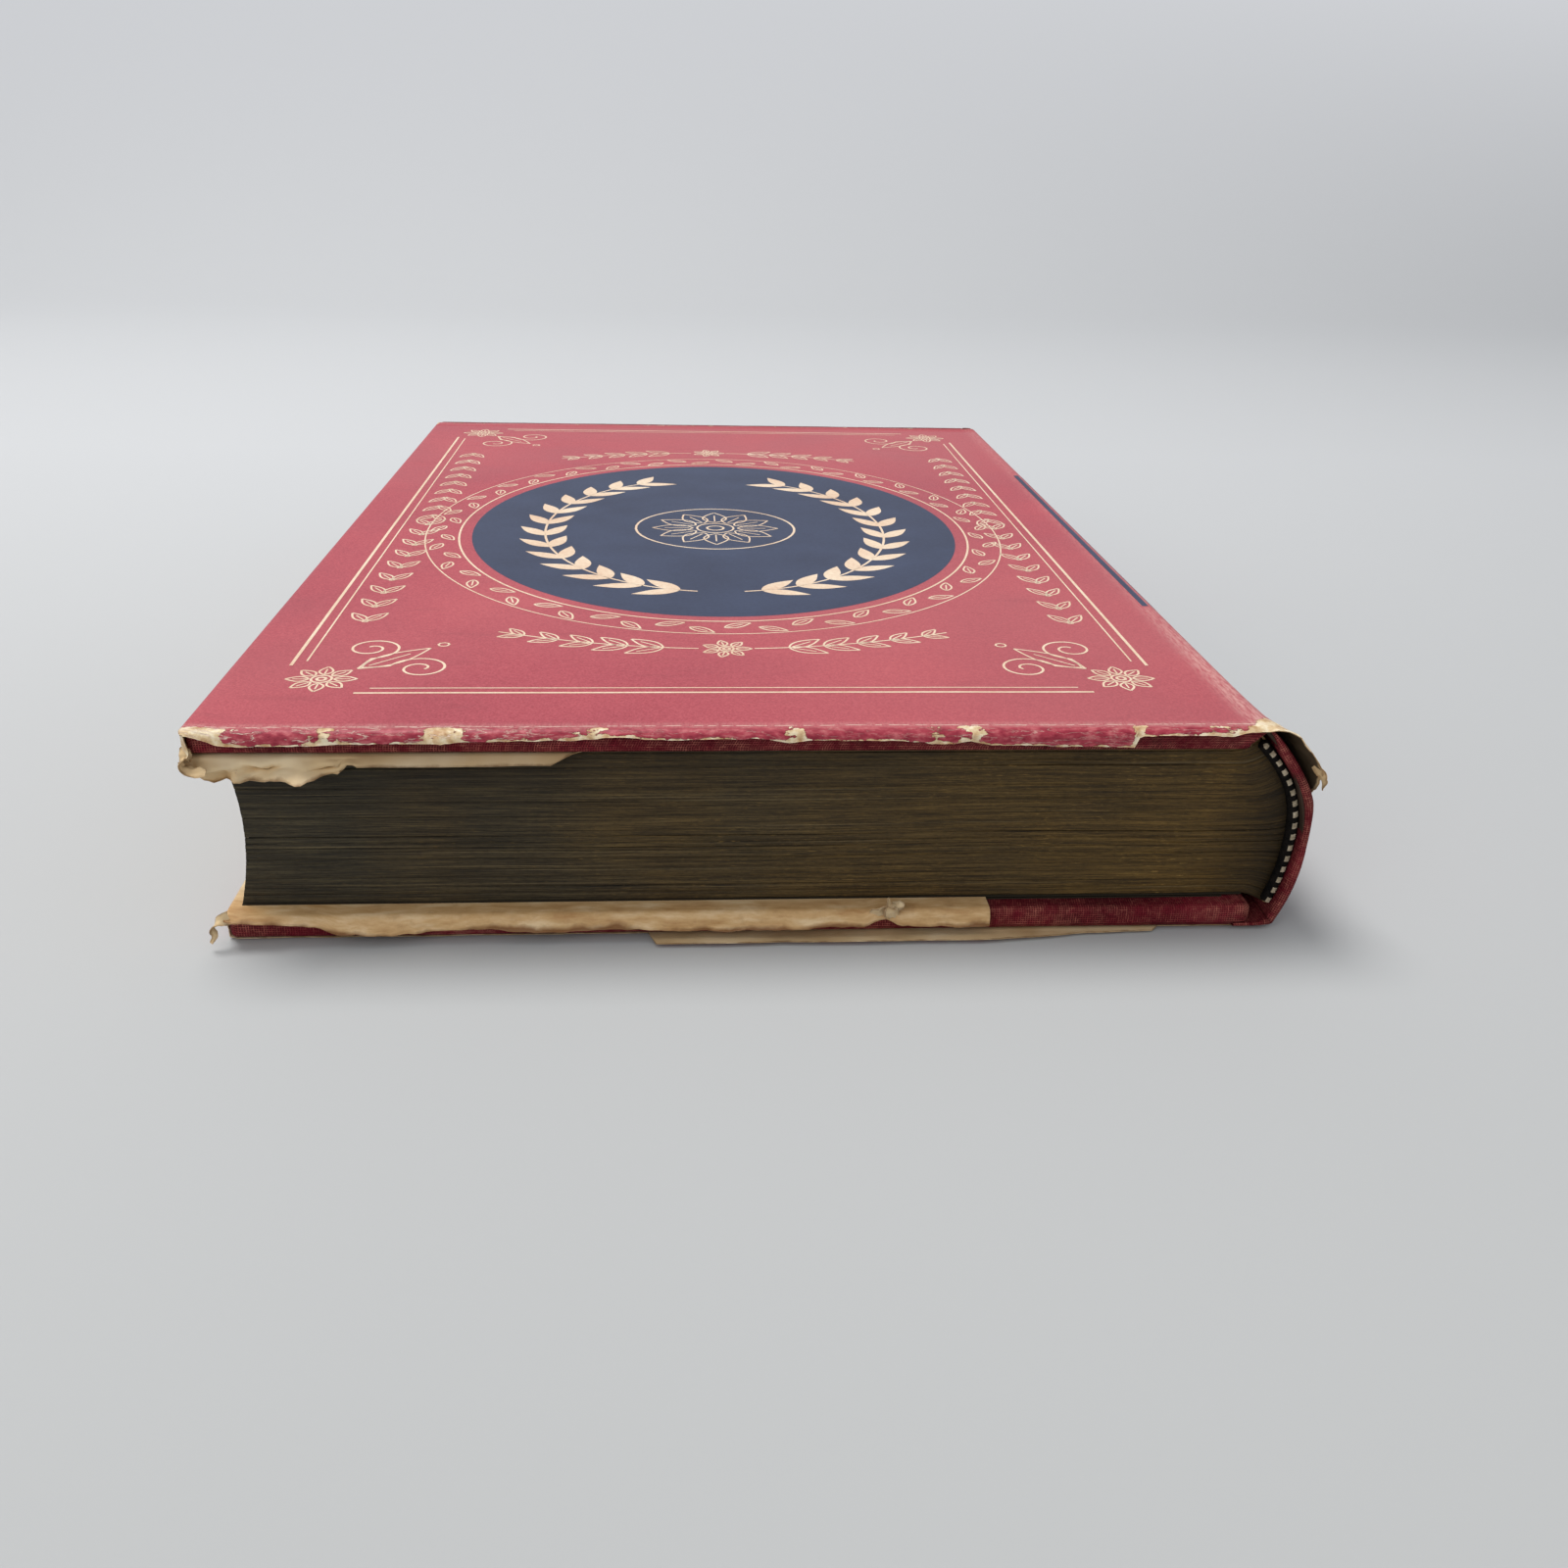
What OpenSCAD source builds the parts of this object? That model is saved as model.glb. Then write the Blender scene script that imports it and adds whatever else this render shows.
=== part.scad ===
// A clothbound hardcover book in its paper dust jacket, lying shut on its rear cover.
// Head edge towards -Y, tail towards +Y, fore-edge towards -X, spine towards +X, front cover up.
// Sections are drawn in u (from the jacket's front fore-edge fold towards the spine) and z;
// v runs from the head face of the covers towards the tail. centred() moves u, v to the part's frame.

/* [Pages] */
// Width of a trimmed leaf, from the fore-edge to the fold at the front shoulder
page_w = 151.5; // [110:0.5:180]
// Height of a trimmed leaf
page_h = 229; // [160:1:300]
// Thickness of the pages together
block_t = 25; // [15:0.5:40]
// Depth of the hollow along the fore-edge
fore_hollow = 1.8; // [0.5:0.1:3]
// How far the backed spine stands out beyond the line between its shoulders
spine_round = 4.4; // [2.5:0.1:6]
// How far each shoulder is turned out beyond the face of the pages
shoulder_rise = 1.5; // [0.8:0.1:2.2]
// Width of the slope that leads up to each shoulder
shoulder_w = 3.6; // [2:0.1:5]
// How far the rear shoulder stands further out than the front one, as the spine has leaned
spine_lean = 5.2; // [0:0.1:7]

/* [Covers] */
// How far each cover reaches past the pages at the head and at the tail
head_square = 3; // [2:0.1:5]
// Thickness of each board
board_t = 2.8; // [2:0.1:4]
// Thickness of the book cloth
cloth_t = 0.5; // [0.3:0.05:0.8]
// Width of the cloth turned in over the boards' inner edges
turn_in_w = 15; // [8:1:20]
// How far the front board reaches past the pages at the fore-edge
fore_square = 3.5; // [2:0.1:6]
// Distance from the front board's spine edge to the tip of the shoulder beside it
joint_w = 2; // [1.5:0.1:3]
// How far the rear board has slipped towards the spine, beside the front one
rear_slip = 2; // [0:0.1:3]
// Distance from a board's spine edge to the line on which its cover turns
hinge_set = 0.6; // [0.3:0.1:1.2]
// Gap between a cover and the spine, at that line
hinge_gap = 0.2; // [0.1:0.05:0.4]

/* [Endpapers] */
// Thickness of the endpapers
endpaper_t = 0.2; // [0.1:0.05:0.4]
// How far a pastedown and the turned-in cloth end before the board's spine edge
pastedown_back = 1.5; // [1:0.5:5]

/* [Spine] */
// Thickness of the gauze glued to the backs of the pages
mull_t = 0.3; // [0.1:0.05:0.6]
// How far the gauze ends before the head and the tail
mull_back = 14; // [10:1:30]
// Thickness of the paper lining over the gauze
lining_t = 0.3; // [0.1:0.05:0.6]
// Play between the lining and the turned-in cloth
hollow_play = 0.1; // [0.05:0.05:0.5]
// Thickness of the card strip that stiffens the spine cloth
inlay_t = 0.6; // [0.3:0.1:1]
// Diameter of the headband's bead
bead_d = 1.8; // [1:0.1:2.5]
// Depth of the tape by which a headband is glued on
band_tape = 10; // [6:1:14]

/* [Jacket] */
// Thickness of the jacket paper
jacket_t = 0.2; // [0.1:0.05:0.4]
// Play between the jacket and a cover's fore-edge
fold_play = 0.3; // [0.2:0.05:0.6]
// Height of cloth left bare at the tail, where the jacket has slipped towards the head
tail_bare = 3.5; // [0:0.5:6]
// Width of each jacket flap
flap_w = 114; // [60:1:120]
// Length cut off the front flap along the head, where its corner is clipped
clip_w = 60; // [10:1:66]
// Length cut off the front flap along its free edge
clip_h = 42; // [10:1:60]
// Bend radius of the front panel's crushed head edge
lip_r = 1.5; // [1:0.1:2]
// Depth to which the front panel's head edge hangs down
lip_drop = 2.3; // [2:0.1:3]
// Bend radius of the flaps' overhanging head edges
droop_r = 1.2; // [0.8:0.1:1.5]
// Depth to which the front flap's crumpled corner hangs down
crumple_drop = 4; // [2:0.1:5]
// Width of that crumpled corner
crumple_w = 21.5; // [10:0.5:40]
// Depth to which the rest of the front flap's head edge hangs down
strip_drop = 1.5; // [1.5:0.1:3]
// Depth to which the rear flap's head edge hangs down
rear_drop = 2.5; // [1.5:0.1:3.5]
// How far what is left of the rear panel's head edge reaches past the board
rear_strip = 3.5; // [1:0.1:5]
// Where that strip starts, from the jacket's front fore-edge fold
strip_from = 65; // [20:1:80]
// Length of that strip
strip_len = 78; // [30:1:80]
// Height of the spine's head that is torn off the jacket
torn_h = 22; // [5:1:40]

/* [Print] */
// Depth that the ink takes of the jacket paper
ink_t = 0.06; // [0.02:0.01:0.08]
// Width of the navy oval on the front
oval_w = 102; // [60:1:104]
// Height of the navy oval on the front
oval_h = 124; // [80:1:126]
// Distance from the head to the middle of the oval
oval_v = 113; // [100:1:130]
// Gap between the oval and the cream ring round it
ring_gap = 2.6; // [1:0.1:4]
// Width of the cream lines
line_w = 0.7; // [0.4:0.1:1.2]
// Distance from the jacket's edges to the outer rule of the frame
frame_in = 9; // [7:0.5:12]
// Gap between the two rules of the frame
rule_gap = 2; // [1.5:0.1:3]
// Radius of the rosette in each corner of the frame
rosette_r = 5; // [3:0.5:6]
// Radius of the rosette in the middle of the oval
middle_r = 13; // [8:0.5:16]
// Distance from the oval's edge in to the stem of the wreath
wreath_in = 15; // [12:0.5:20]
// Length of each leaf of the wreath
leaf_l = 9; // [6:0.5:12]
// Distance from the head to the start of the navy band on the spine
band_v = 58; // [40:1:80]
// Height of the navy band on the spine
band_h = 120; // [60:1:130]

/* [Hidden] */
ROUND = 96;
OVAL_POINTS = 72;
PETALS = 8;
WREATH_LEAVES = 11;
FAR = 400;

// Levels of the layers, from the table up
cover_t = board_t + 2 * cloth_t;
layers_t = jacket_t + cover_t + endpaper_t + jacket_t + endpaper_t;
block_z0 = layers_t;
block_z1 = block_z0 + block_t;
top_z = block_z1 + layers_t;

// Places along u
case_u = jacket_t + fold_play;
board_u = case_u + cloth_t;
fore_u = case_u + fore_square;
board_end_u = fore_u + page_w - joint_w;
front_hinge_u = board_end_u + hinge_set;
rear_hinge_u = front_hinge_u + rear_slip;

// Places along v
block_v0 = head_square;
block_v1 = block_v0 + page_h;
case_h = block_v1 + head_square;
jacket_v1 = case_h - tail_bare;
fold_r = case_u;

// The shoulders, and the circle through them on which the spine is rounded
front_tip = [fore_u + page_w, block_z1 + shoulder_rise];
rear_tip = [front_tip[0] + spine_lean, block_z0 - shoulder_rise];
chord = norm(front_tip - rear_tip);
block_r = (chord * chord / 4 + spine_round * spine_round) / (2 * spine_round);
along = (rear_tip - front_tip) / chord;
outward = [-along[1], along[0]];
spine_c = (front_tip + rear_tip) / 2 - (block_r - spine_round) * outward;
tip_a = atan2(front_tip[1] - spine_c[1], front_tip[0] - spine_c[0]);
tip_b = atan2(rear_tip[1] - spine_c[1], rear_tip[0] - spine_c[0]);

// Radii of the layers on the spine, from the pages out
mull_r = block_r + mull_t;
lining_r = mull_r + lining_t;
turned_r = lining_r + hollow_play;
inlay_r = turned_r + cloth_t;
cloth_r = inlay_r + inlay_t;
jacket_r = cloth_r + cloth_t;
spine_r = jacket_r + jacket_t;

// The middle of the part's box
box_u0 = min(0, rear_slip);
box_u1 = spine_c[0] + spine_r;
box_v0 = -max(rear_strip, lip_r, droop_r);
box_v1 = case_h;

module centred() {
    translate([-(box_u0 + box_u1) / 2, -(box_v0 + box_v1) / 2, 0]) children();
}

// A section in u, z drawn out from v0 to v1
module along_v(v0, v1) {
    translate([0, v1, 0]) rotate([90, 0, 0]) linear_extrude(height = v1 - v0) children();
}

// A section in v, z drawn out from u0 to u1
module along_u(u0, u1) {
    translate([u0, 0, 0]) rotate([90, 0, 90]) linear_extrude(height = u1 - u0) children();
}

module rect(a0, a1, b0, b1) {
    translate([a0, b0]) square([a1 - a0, b1 - b0]);
}

module slab(u0, u1, v0, v1, z0, z1) {
    translate([u0, v0, z0]) cube([u1 - u0, v1 - v0, z1 - z0]);
}

// A quarter of a bent sheet: side_a and side_b are 1 or -1 and pick the quarter
module bend(centre, r, t, side_a, side_b) {
    translate(centre) intersection() {
        difference() {
            circle(r = r, $fn = ROUND);
            circle(r = r - t, $fn = ROUND);
        }
        scale([side_a, side_b]) square(r);
    }
}

// The wedge of the spine circle between the two shoulders
module shoulder_wedge() {
    reach = 2 * spine_r;
    polygon([
        spine_c,
        spine_c + reach * [cos(tip_a), sin(tip_a)],
        spine_c + reach * [cos((tip_a + tip_b) / 2), sin((tip_a + tip_b) / 2)],
        spine_c + reach * [cos(tip_b), sin(tip_b)]
    ]);
}

module spine_ring(r0, r1) {
    translate(spine_c) difference() {
        circle(r = r1, $fn = ROUND);
        circle(r = r0, $fn = ROUND);
    }
}

// A layer of the spine back, between the shoulders
module back_layer(r0, r1) {
    intersection() {
        spine_ring(r0, r1);
        shoulder_wedge();
    }
}

// A layer of the case's spine, cut off at two levels
module spine_shell(r0, r1, z0, z1) {
    intersection() {
        spine_ring(r0, r1);
        rect(spine_c[0], spine_c[0] + FAR, z0, z1);
    }
}

// Where a circle of the spine reaches a level
function u_on(r, z) = spine_c[0] + sqrt(r * r - (z - spine_c[1]) * (z - spine_c[1]));

// The same, with the flat strips that lead to the two hinge lines
module spine_wrap(r0, r1, z0, z1) {
    t = r1 - r0;
    spine_shell(r0, r1, z0, z1);
    rect(front_hinge_u + hinge_gap / 2, u_on((r0 + r1) / 2, z1), z1 - t, z1);
    rect(rear_hinge_u + hinge_gap / 2, u_on((r0 + r1) / 2, z0), z0, z0 + t);
}

// Pages and spine

// The outline is drawn past the fore-edge and the spine, and two circles cut it back:
// one hollows the fore-edge, the other rounds the spine between the shoulders.
module block_section() {
    hollow_r = (block_t * block_t / 4 + fore_hollow * fore_hollow) / (2 * fore_hollow);
    past = 2 * spine_round;
    slope = shoulder_rise / shoulder_w;
    difference() {
        polygon([
            [fore_u - fore_hollow, block_z0],
            [fore_u - fore_hollow, block_z1],
            [front_tip[0] - shoulder_w, block_z1],
            front_tip + past * [1, slope],
            rear_tip + past * [1, -slope],
            [rear_tip[0] - shoulder_w, block_z0]
        ]);
        translate([fore_u + fore_hollow - hollow_r, (block_z0 + block_z1) / 2])
            circle(r = hollow_r, $fn = ROUND);
        difference() {
            rect(spine_c[0], FAR, -top_z, 2 * top_z);
            translate(spine_c) circle(r = block_r, $fn = ROUND);
        }
    }
}

module text_block() {
    color("#3e3a2c") centred() along_v(block_v0, block_v1) block_section();
}

module mull() {
    color("#d8d2bd") centred()
        along_v(block_v0 + mull_back, block_v1 - mull_back) back_layer(block_r, mull_r);
}

module spine_lining() {
    color("#b89c6c") centred() along_v(block_v0, block_v1) back_layer(mull_r, lining_r);
}

// The sewn bead that stands on the end of the pages, and its tape on their backs.
// end is the v of the pages' end; out is -1 at the head and 1 at the tail.
module band(end, out) {
    bead_v = end + out * bead_d / 2;
    tape_v = end - out * band_tape;
    inset = asin(bead_d / block_r);
    translate([spine_c[0], bead_v, spine_c[1]])
        rotate([90, 0, 0]) rotate([0, 0, tip_b + inset])
            rotate_extrude(angle = tip_a - tip_b - 2 * inset, $fn = 2 * ROUND)
                translate([mull_r - bead_d / 2, 0]) circle(d = bead_d, $fn = 32);
    along_v(min(bead_v, tape_v), max(bead_v, tape_v)) back_layer(block_r, mull_r);
}

module headband() {
    color("#2a2622") centred() band(block_v0, -1);
}

module tailband() {
    color("#2a2622") centred() band(block_v1, 1);
}

module front_flyleaf() {
    color("#e3d7b8") centred()
        slab(fore_u, front_tip[0] - shoulder_w, block_v0, block_v1, block_z1, block_z1 + endpaper_t);
}

module rear_flyleaf() {
    color("#e3d7b8") centred()
        slab(fore_u, rear_tip[0] - shoulder_w, block_v0, block_v1, block_z0 - endpaper_t, block_z0);
}

module spine_inlay() {
    edge = jacket_t + cloth_t;
    color("#8f7f63") centred()
        along_v(cloth_t, case_h - cloth_t) spine_shell(inlay_r, cloth_r, edge, top_z - edge);
}

// The cloth lies on the card strip and is turned in round its two ends
module spine_cloth() {
    edge = jacket_t + cloth_t;
    color("#6b1626") centred() {
        along_v(0, case_h) spine_wrap(cloth_r, jacket_r, jacket_t, top_z - jacket_t);
        for (v = [0, case_h - cloth_t])
            along_v(v, v + cloth_t) spine_shell(turned_r, cloth_r, edge, top_z - edge);
        for (v = [cloth_t, case_h - turn_in_w])
            along_v(v, v + turn_in_w - cloth_t) spine_shell(turned_r, inlay_r, edge, top_z - edge);
    }
}

// The jacket's spine, with its head torn off in a ragged line that climbs to the front fold
module jacket_spine() {
    color("#b8606b") centred() difference() {
        along_v(-lip_r, jacket_v1) spine_wrap(jacket_r, spine_r, 0, top_z);
        along_u(front_tip[0], FAR) polygon([
            [-FAR, -FAR],
            [torn_h * 0.7, -FAR],
            [torn_h, top_z * 0.2],
            [torn_h * 0.85, top_z * 0.36],
            [torn_h * 0.95, top_z * 0.48],
            [torn_h * 0.4, top_z * 0.62],
            [0, top_z * 0.72],
            [-FAR, top_z * 0.72]
        ]);
        spine_band();
    }
}

module spine_band() {
    along_v(band_v, band_v + band_h)
        spine_shell(spine_r - ink_t, spine_r + ink_t, jacket_t + cover_t / 2, top_z);
}

module spine_band_print() {
    color("#2f3a54") centred() intersection() {
        spine_band();
        along_v(0, case_h) translate(spine_c) circle(r = spine_r, $fn = ROUND);
    }
}

// Covers. slip is 0 for the front and rear_slip for the rear, and each cover is drawn
// with its outer side down, its jacket's outside at level 0.

module board(slip) {
    z0 = jacket_t + cloth_t;
    slab(board_u + slip, board_end_u + slip, cloth_t, case_h - cloth_t, z0, z0 + board_t);
}

module cover_cloth(slip) {
    z0 = jacket_t;
    turned_u = board_end_u + slip - pastedown_back;
    inner_u = board_u + slip + turn_in_w;
    difference() {
        slab(case_u + slip, front_hinge_u + slip - hinge_gap / 2, 0, case_h, z0, z0 + cover_t);
        board(slip);
        slab(board_end_u + slip, FAR, -1, case_h + 1, z0 + cloth_t, z0 + cover_t + 1);
        slab(turned_u, FAR, -1, case_h + 1, z0 + cover_t - cloth_t, z0 + cover_t + 1);
        slab(inner_u, FAR, turn_in_w, case_h - turn_in_w, z0 + cloth_t, z0 + cover_t + 1);
    }
}

// The pastedown lies on the turned-in cloth and is pressed down to the board inside it
module pastedown(slip) {
    rim_z = jacket_t + cover_t;
    board_z = rim_z - cloth_t;
    u0 = fore_u + slip - rear_slip / 2;
    u1 = board_end_u + slip - pastedown_back;
    pit_u = board_u + slip + turn_in_w;
    difference() {
        union() {
            slab(u0, u1, block_v0, block_v1, rim_z, rim_z + endpaper_t);
            slab(pit_u, u1, turn_in_w, case_h - turn_in_w, board_z, rim_z + endpaper_t);
        }
        slab(pit_u + endpaper_t, FAR, turn_in_w + endpaper_t, case_h - turn_in_w - endpaper_t,
            board_z + endpaper_t, rim_z + endpaper_t + 1);
    }
}

// The jacket's fold round the fore-edge of a cover
module fore_fold(slip, v0) {
    inner_z = jacket_t + cover_t + endpaper_t + jacket_t;
    along_v(v0, jacket_v1) translate([slip, 0]) {
        bend([fold_r, fold_r], fold_r, jacket_t, -1, -1);
        rect(0, jacket_t, fold_r, inner_z - fold_r);
        bend([fold_r, inner_z - fold_r], fold_r, jacket_t, -1, 1);
    }
}

// An overhanging head edge that bends away from the sheet, from level z and towards side
module hanging_edge(u0, u1, v, z, r, drop, side) {
    along_u(u0, u1) {
        bend([v, z - side * r], r, jacket_t, -1, side);
        rect(v - r, v - r + jacket_t, min(z - side * r, z - side * drop), max(z - side * r, z - side * drop));
    }
}

// Turns a cover drawn with its outer side down into the front one
module as_front() {
    translate([0, 0, top_z]) mirror([0, 0, 1]) children();
}

module front_board() {
    color("#8f7f63") centred() as_front() board(0);
}

module front_cloth() {
    color("#6b1626") centred() as_front() cover_cloth(0);
}

module front_pastedown() {
    color("#e3d7b8") centred() as_front() pastedown(0);
}

// The front flap, with its clipped corner and its overhanging head edge
module front_flap() {
    inner_z = jacket_t + cover_t + endpaper_t + jacket_t;
    bend_v = droop_r - jacket_t;
    cut_u = flap_w - clip_w;
    translate([0, 0, inner_z - jacket_t]) linear_extrude(height = jacket_t) polygon([
        [fold_r, bend_v],
        [cut_u, bend_v],
        [flap_w, clip_h],
        [flap_w, jacket_v1],
        [fold_r, jacket_v1]
    ]);
    top = inner_z - jacket_t;
    hanging_edge(fold_r, crumple_w, bend_v, top, droop_r, crumple_drop, -1);
    hanging_edge(crumple_w, cut_u - droop_r, bend_v, top, droop_r, strip_drop, -1);
}

module jacket_front() {
    color("#b8606b") centred() as_front() difference() {
        union() {
            slab(fold_r, front_hinge_u - hinge_gap / 2, 0, jacket_v1, 0, jacket_t);
            hanging_edge(fold_r, front_hinge_u - hinge_gap / 2, 0, 0, lip_r, lip_drop, -1);
            fore_fold(0, droop_r - jacket_t);
            front_flap();
        }
        translate([0, 0, -1]) linear_extrude(height = 1 + ink_t) {
            oval_shape(0);
            ornament_shape();
        }
    }
}

// Print on the front panel

// The oval, grown by a margin
module oval_shape(margin) {
    a = oval_w / 2 + margin;
    b = oval_h / 2 + margin;
    mid_u = front_hinge_u / 2;
    polygon([for (i = [0:OVAL_POINTS - 1]) let (t = 360 * i / OVAL_POINTS)
        [mid_u + a * cos(t), oval_v + b * sin(t)]]);
}

// A rosette of round petals about an open eye
module rosette(r) {
    petal_r = r * 0.28;
    for (i = [0:PETALS - 1])
        rotate(360 * i / PETALS) translate([r - petal_r, 0]) circle(r = petal_r, $fn = 24);
    difference() {
        circle(r = r * 0.4, $fn = 32);
        circle(r = r * 0.2, $fn = 32);
    }
}

// A pointed leaf that lies along the first axis
module leaf(l) {
    r = l * 0.8;
    rise = sqrt(r * r - l * l / 4);
    intersection() {
        translate([l / 2, rise]) circle(r = r, $fn = 48);
        translate([l / 2, -rise]) circle(r = r, $fn = 48);
    }
}

// Leaves in two rows up each side of the oval, open towards the tail
module wreath() {
    a = oval_w / 2 - wreath_in;
    b = oval_h / 2 - wreath_in;
    for (side = [-1, 1], i = [0:WREATH_LEAVES - 1]) {
        t = -78 + 138 * i / (WREATH_LEAVES - 1);
        rise = atan2(b * cos(t), -a * sin(t));
        for (turn = [-32, 32])
            translate([side * a * cos(t), b * sin(t)])
                rotate(side > 0 ? rise + turn : 180 - rise + turn) translate([1, 0]) leaf(leaf_l);
    }
}

module rule_frame(inset) {
    difference() {
        rect(inset, front_hinge_u - inset, inset, jacket_v1 - inset);
        rect(inset + line_w, front_hinge_u - inset - line_w, inset + line_w, jacket_v1 - inset - line_w);
    }
}

module ornament_shape() {
    corner = frame_in + rosette_r;
    mid_u = front_hinge_u / 2;
    difference() {
        oval_shape(ring_gap + line_w);
        oval_shape(ring_gap);
    }
    difference() {
        union() {
            rule_frame(frame_in);
            rule_frame(frame_in + rule_gap);
        }
        for (u = [corner, front_hinge_u - corner], v = [corner, jacket_v1 - corner])
            translate([u, v]) square(2.8 * rosette_r, center = true);
    }
    for (u = [corner, front_hinge_u - corner], v = [corner, jacket_v1 - corner])
        translate([u, v]) rosette(rosette_r);
    translate([mid_u, oval_v]) {
        rosette(middle_r);
        wreath();
    }
}

module oval_print() {
    color("#2f3a54") centred() as_front() linear_extrude(height = ink_t) difference() {
        oval_shape(0);
        ornament_shape();
    }
}

module ornament_print() {
    color("#ecd9c0") centred() as_front() linear_extrude(height = ink_t) ornament_shape();
}

module rear_board() {
    color("#8f7f63") centred() board(rear_slip);
}

module rear_cloth() {
    color("#6b1626") centred() cover_cloth(rear_slip);
}

module rear_pastedown() {
    color("#e3d7b8") centred() pastedown(rear_slip);
}

// The rear of the jacket: of its head edge only a strip is left, and its flap hangs over the board
module jacket_rear() {
    inner_z = jacket_t + cover_t + endpaper_t + jacket_t;
    end_u = rear_hinge_u - hinge_gap / 2;
    color("#b8606b") centred() {
        linear_extrude(height = jacket_t) polygon([
            [rear_slip + fold_r, cloth_t],
            [strip_from, cloth_t],
            [strip_from, -rear_strip],
            [strip_from + strip_len - rear_strip, -rear_strip],
            [strip_from + strip_len, cloth_t],
            [end_u, cloth_t],
            [end_u, jacket_v1],
            [rear_slip + fold_r, jacket_v1]
        ]);
        fore_fold(rear_slip, cloth_t);
        slab(rear_slip + fold_r, rear_slip + flap_w, 0, jacket_v1, inner_z - jacket_t, inner_z);
        hanging_edge(rear_slip + fold_r, rear_slip + flap_w, 0, inner_z, droop_r, rear_drop, 1);
    }
}

text_block();
mull();
spine_lining();
headband();
tailband();
front_flyleaf();
rear_flyleaf();
spine_inlay();
spine_cloth();
jacket_spine();
spine_band_print();
front_board();
front_cloth();
front_pastedown();
jacket_front();
oval_print();
ornament_print();
rear_board();
rear_cloth();
rear_pastedown();
jacket_rear();
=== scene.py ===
# %% [markdown]
# # A clothbound book in a worn paper jacket
# The imported CAD model is loaded first and stays as it is. It says where every layer of the book
# lies, and each piece made below either takes the place of a CAD node or gives it a finish.

# %% Load the frame
import math

import bpy
import numpy as np
from mathutils import Matrix, Vector


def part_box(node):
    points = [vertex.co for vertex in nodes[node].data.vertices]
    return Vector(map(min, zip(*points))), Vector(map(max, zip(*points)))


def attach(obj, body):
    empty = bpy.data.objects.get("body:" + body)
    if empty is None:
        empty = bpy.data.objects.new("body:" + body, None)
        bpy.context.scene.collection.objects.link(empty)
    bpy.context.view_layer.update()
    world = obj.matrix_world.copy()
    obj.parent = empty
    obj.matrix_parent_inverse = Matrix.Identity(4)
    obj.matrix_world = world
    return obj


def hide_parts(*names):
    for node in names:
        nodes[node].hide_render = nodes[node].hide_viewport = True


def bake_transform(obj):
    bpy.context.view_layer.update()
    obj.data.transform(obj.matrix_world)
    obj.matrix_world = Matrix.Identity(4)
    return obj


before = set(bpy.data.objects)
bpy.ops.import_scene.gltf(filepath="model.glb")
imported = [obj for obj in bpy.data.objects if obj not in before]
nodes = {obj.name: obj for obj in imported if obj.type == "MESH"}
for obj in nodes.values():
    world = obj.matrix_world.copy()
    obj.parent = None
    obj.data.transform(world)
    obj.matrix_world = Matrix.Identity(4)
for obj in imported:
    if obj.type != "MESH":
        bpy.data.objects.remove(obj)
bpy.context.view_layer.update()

# %% [markdown]
# A bookbinder measures from the covers: u runs from the jacket's fore-edge fold to the spine, v from
# the head of the covers to the tail, and z up from the table, all in millimetres. Working in those
# terms keeps every number readable, and one small function turns them into the model's metres.

# %% Book measure to model metres
MM = 0.001
zero_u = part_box("jacket_front")[0].x
zero_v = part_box("front_cloth")[0].y
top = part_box("jacket_front")[1].z / MM
tail = (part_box("front_cloth")[1].y - zero_v) / MM
jacket_tail = (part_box("jacket_rear")[1].y - zero_v) / MM


def metres(points):
    points = np.asarray(points, float)
    return points * MM + np.array([zero_u, zero_v, 0])


def spot(u, v, z):
    return Vector(metres([u, v, z]))


print("top", round(top, 2), "tail", round(tail, 2), "jacket's tail", round(jacket_tail, 2))

# %% [markdown]
# The photograph was taken from in front of the head edge, a little above it, with a slightly tilted
# camera. Its place came from matching the cover's corners and the edges of the boards. Three
# directions make the camera's rotation: its right, its up, and the way that it looks.

# %% Camera
camera_data = bpy.data.cameras.new("camera")
camera_data.sensor_width = 36
camera_data.lens = 32.346
camera_data.clip_start = 0.01
camera = bpy.data.objects.new("camera", camera_data)
bpy.context.collection.objects.link(camera)
right = Vector((0.99740, -0.06772, 0.02457))
up = Vector((0.00585, 0.41612, 0.90929))
look = Vector((0.07180, 0.90678, -0.41544))
turn = Matrix((right, up, -look)).transposed().to_4x4()
camera.matrix_world = Matrix.Translation(spot(69.707, -185.718, 110.335)) @ turn
bpy.context.scene.camera = camera
print("camera at", [round(c, 3) for c in camera.matrix_world.translation])

# %% [markdown]
# Torn paper, rubbed cloth and uneven leaves all need irregularity, but the book has to come out the
# same each time. So the roughness comes from fixed arithmetic: a whole-number lattice is scrambled
# into values from -1 to 1, and a smooth curve joins them.

# %% Steady roughness
def scramble(i, j, seed):
    h = (i * 374761393 + j * 668265263 + seed * 974634777) & 0xFFFFFFFF
    h = ((h ^ (h >> 13)) * 1274126177) & 0xFFFFFFFF
    return ((h ^ (h >> 16)) & 0xFFFF) / 32767.5 - 1


def rough(x, y, step, seed):
    x, y = np.broadcast_arrays(np.asarray(x, float) / step, np.asarray(y, float) / step)
    i, j = np.floor(x).astype(np.int64), np.floor(y).astype(np.int64)
    a, b = x - i, y - j
    a, b = a * a * (3 - 2 * a), b * b * (3 - 2 * b)
    near = scramble(i, j, seed) * (1 - a) + scramble(i + 1, j, seed) * a
    far = scramble(i, j + 1, seed) * (1 - a) + scramble(i + 1, j + 1, seed) * a
    return near * (1 - b) + far * b


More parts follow.
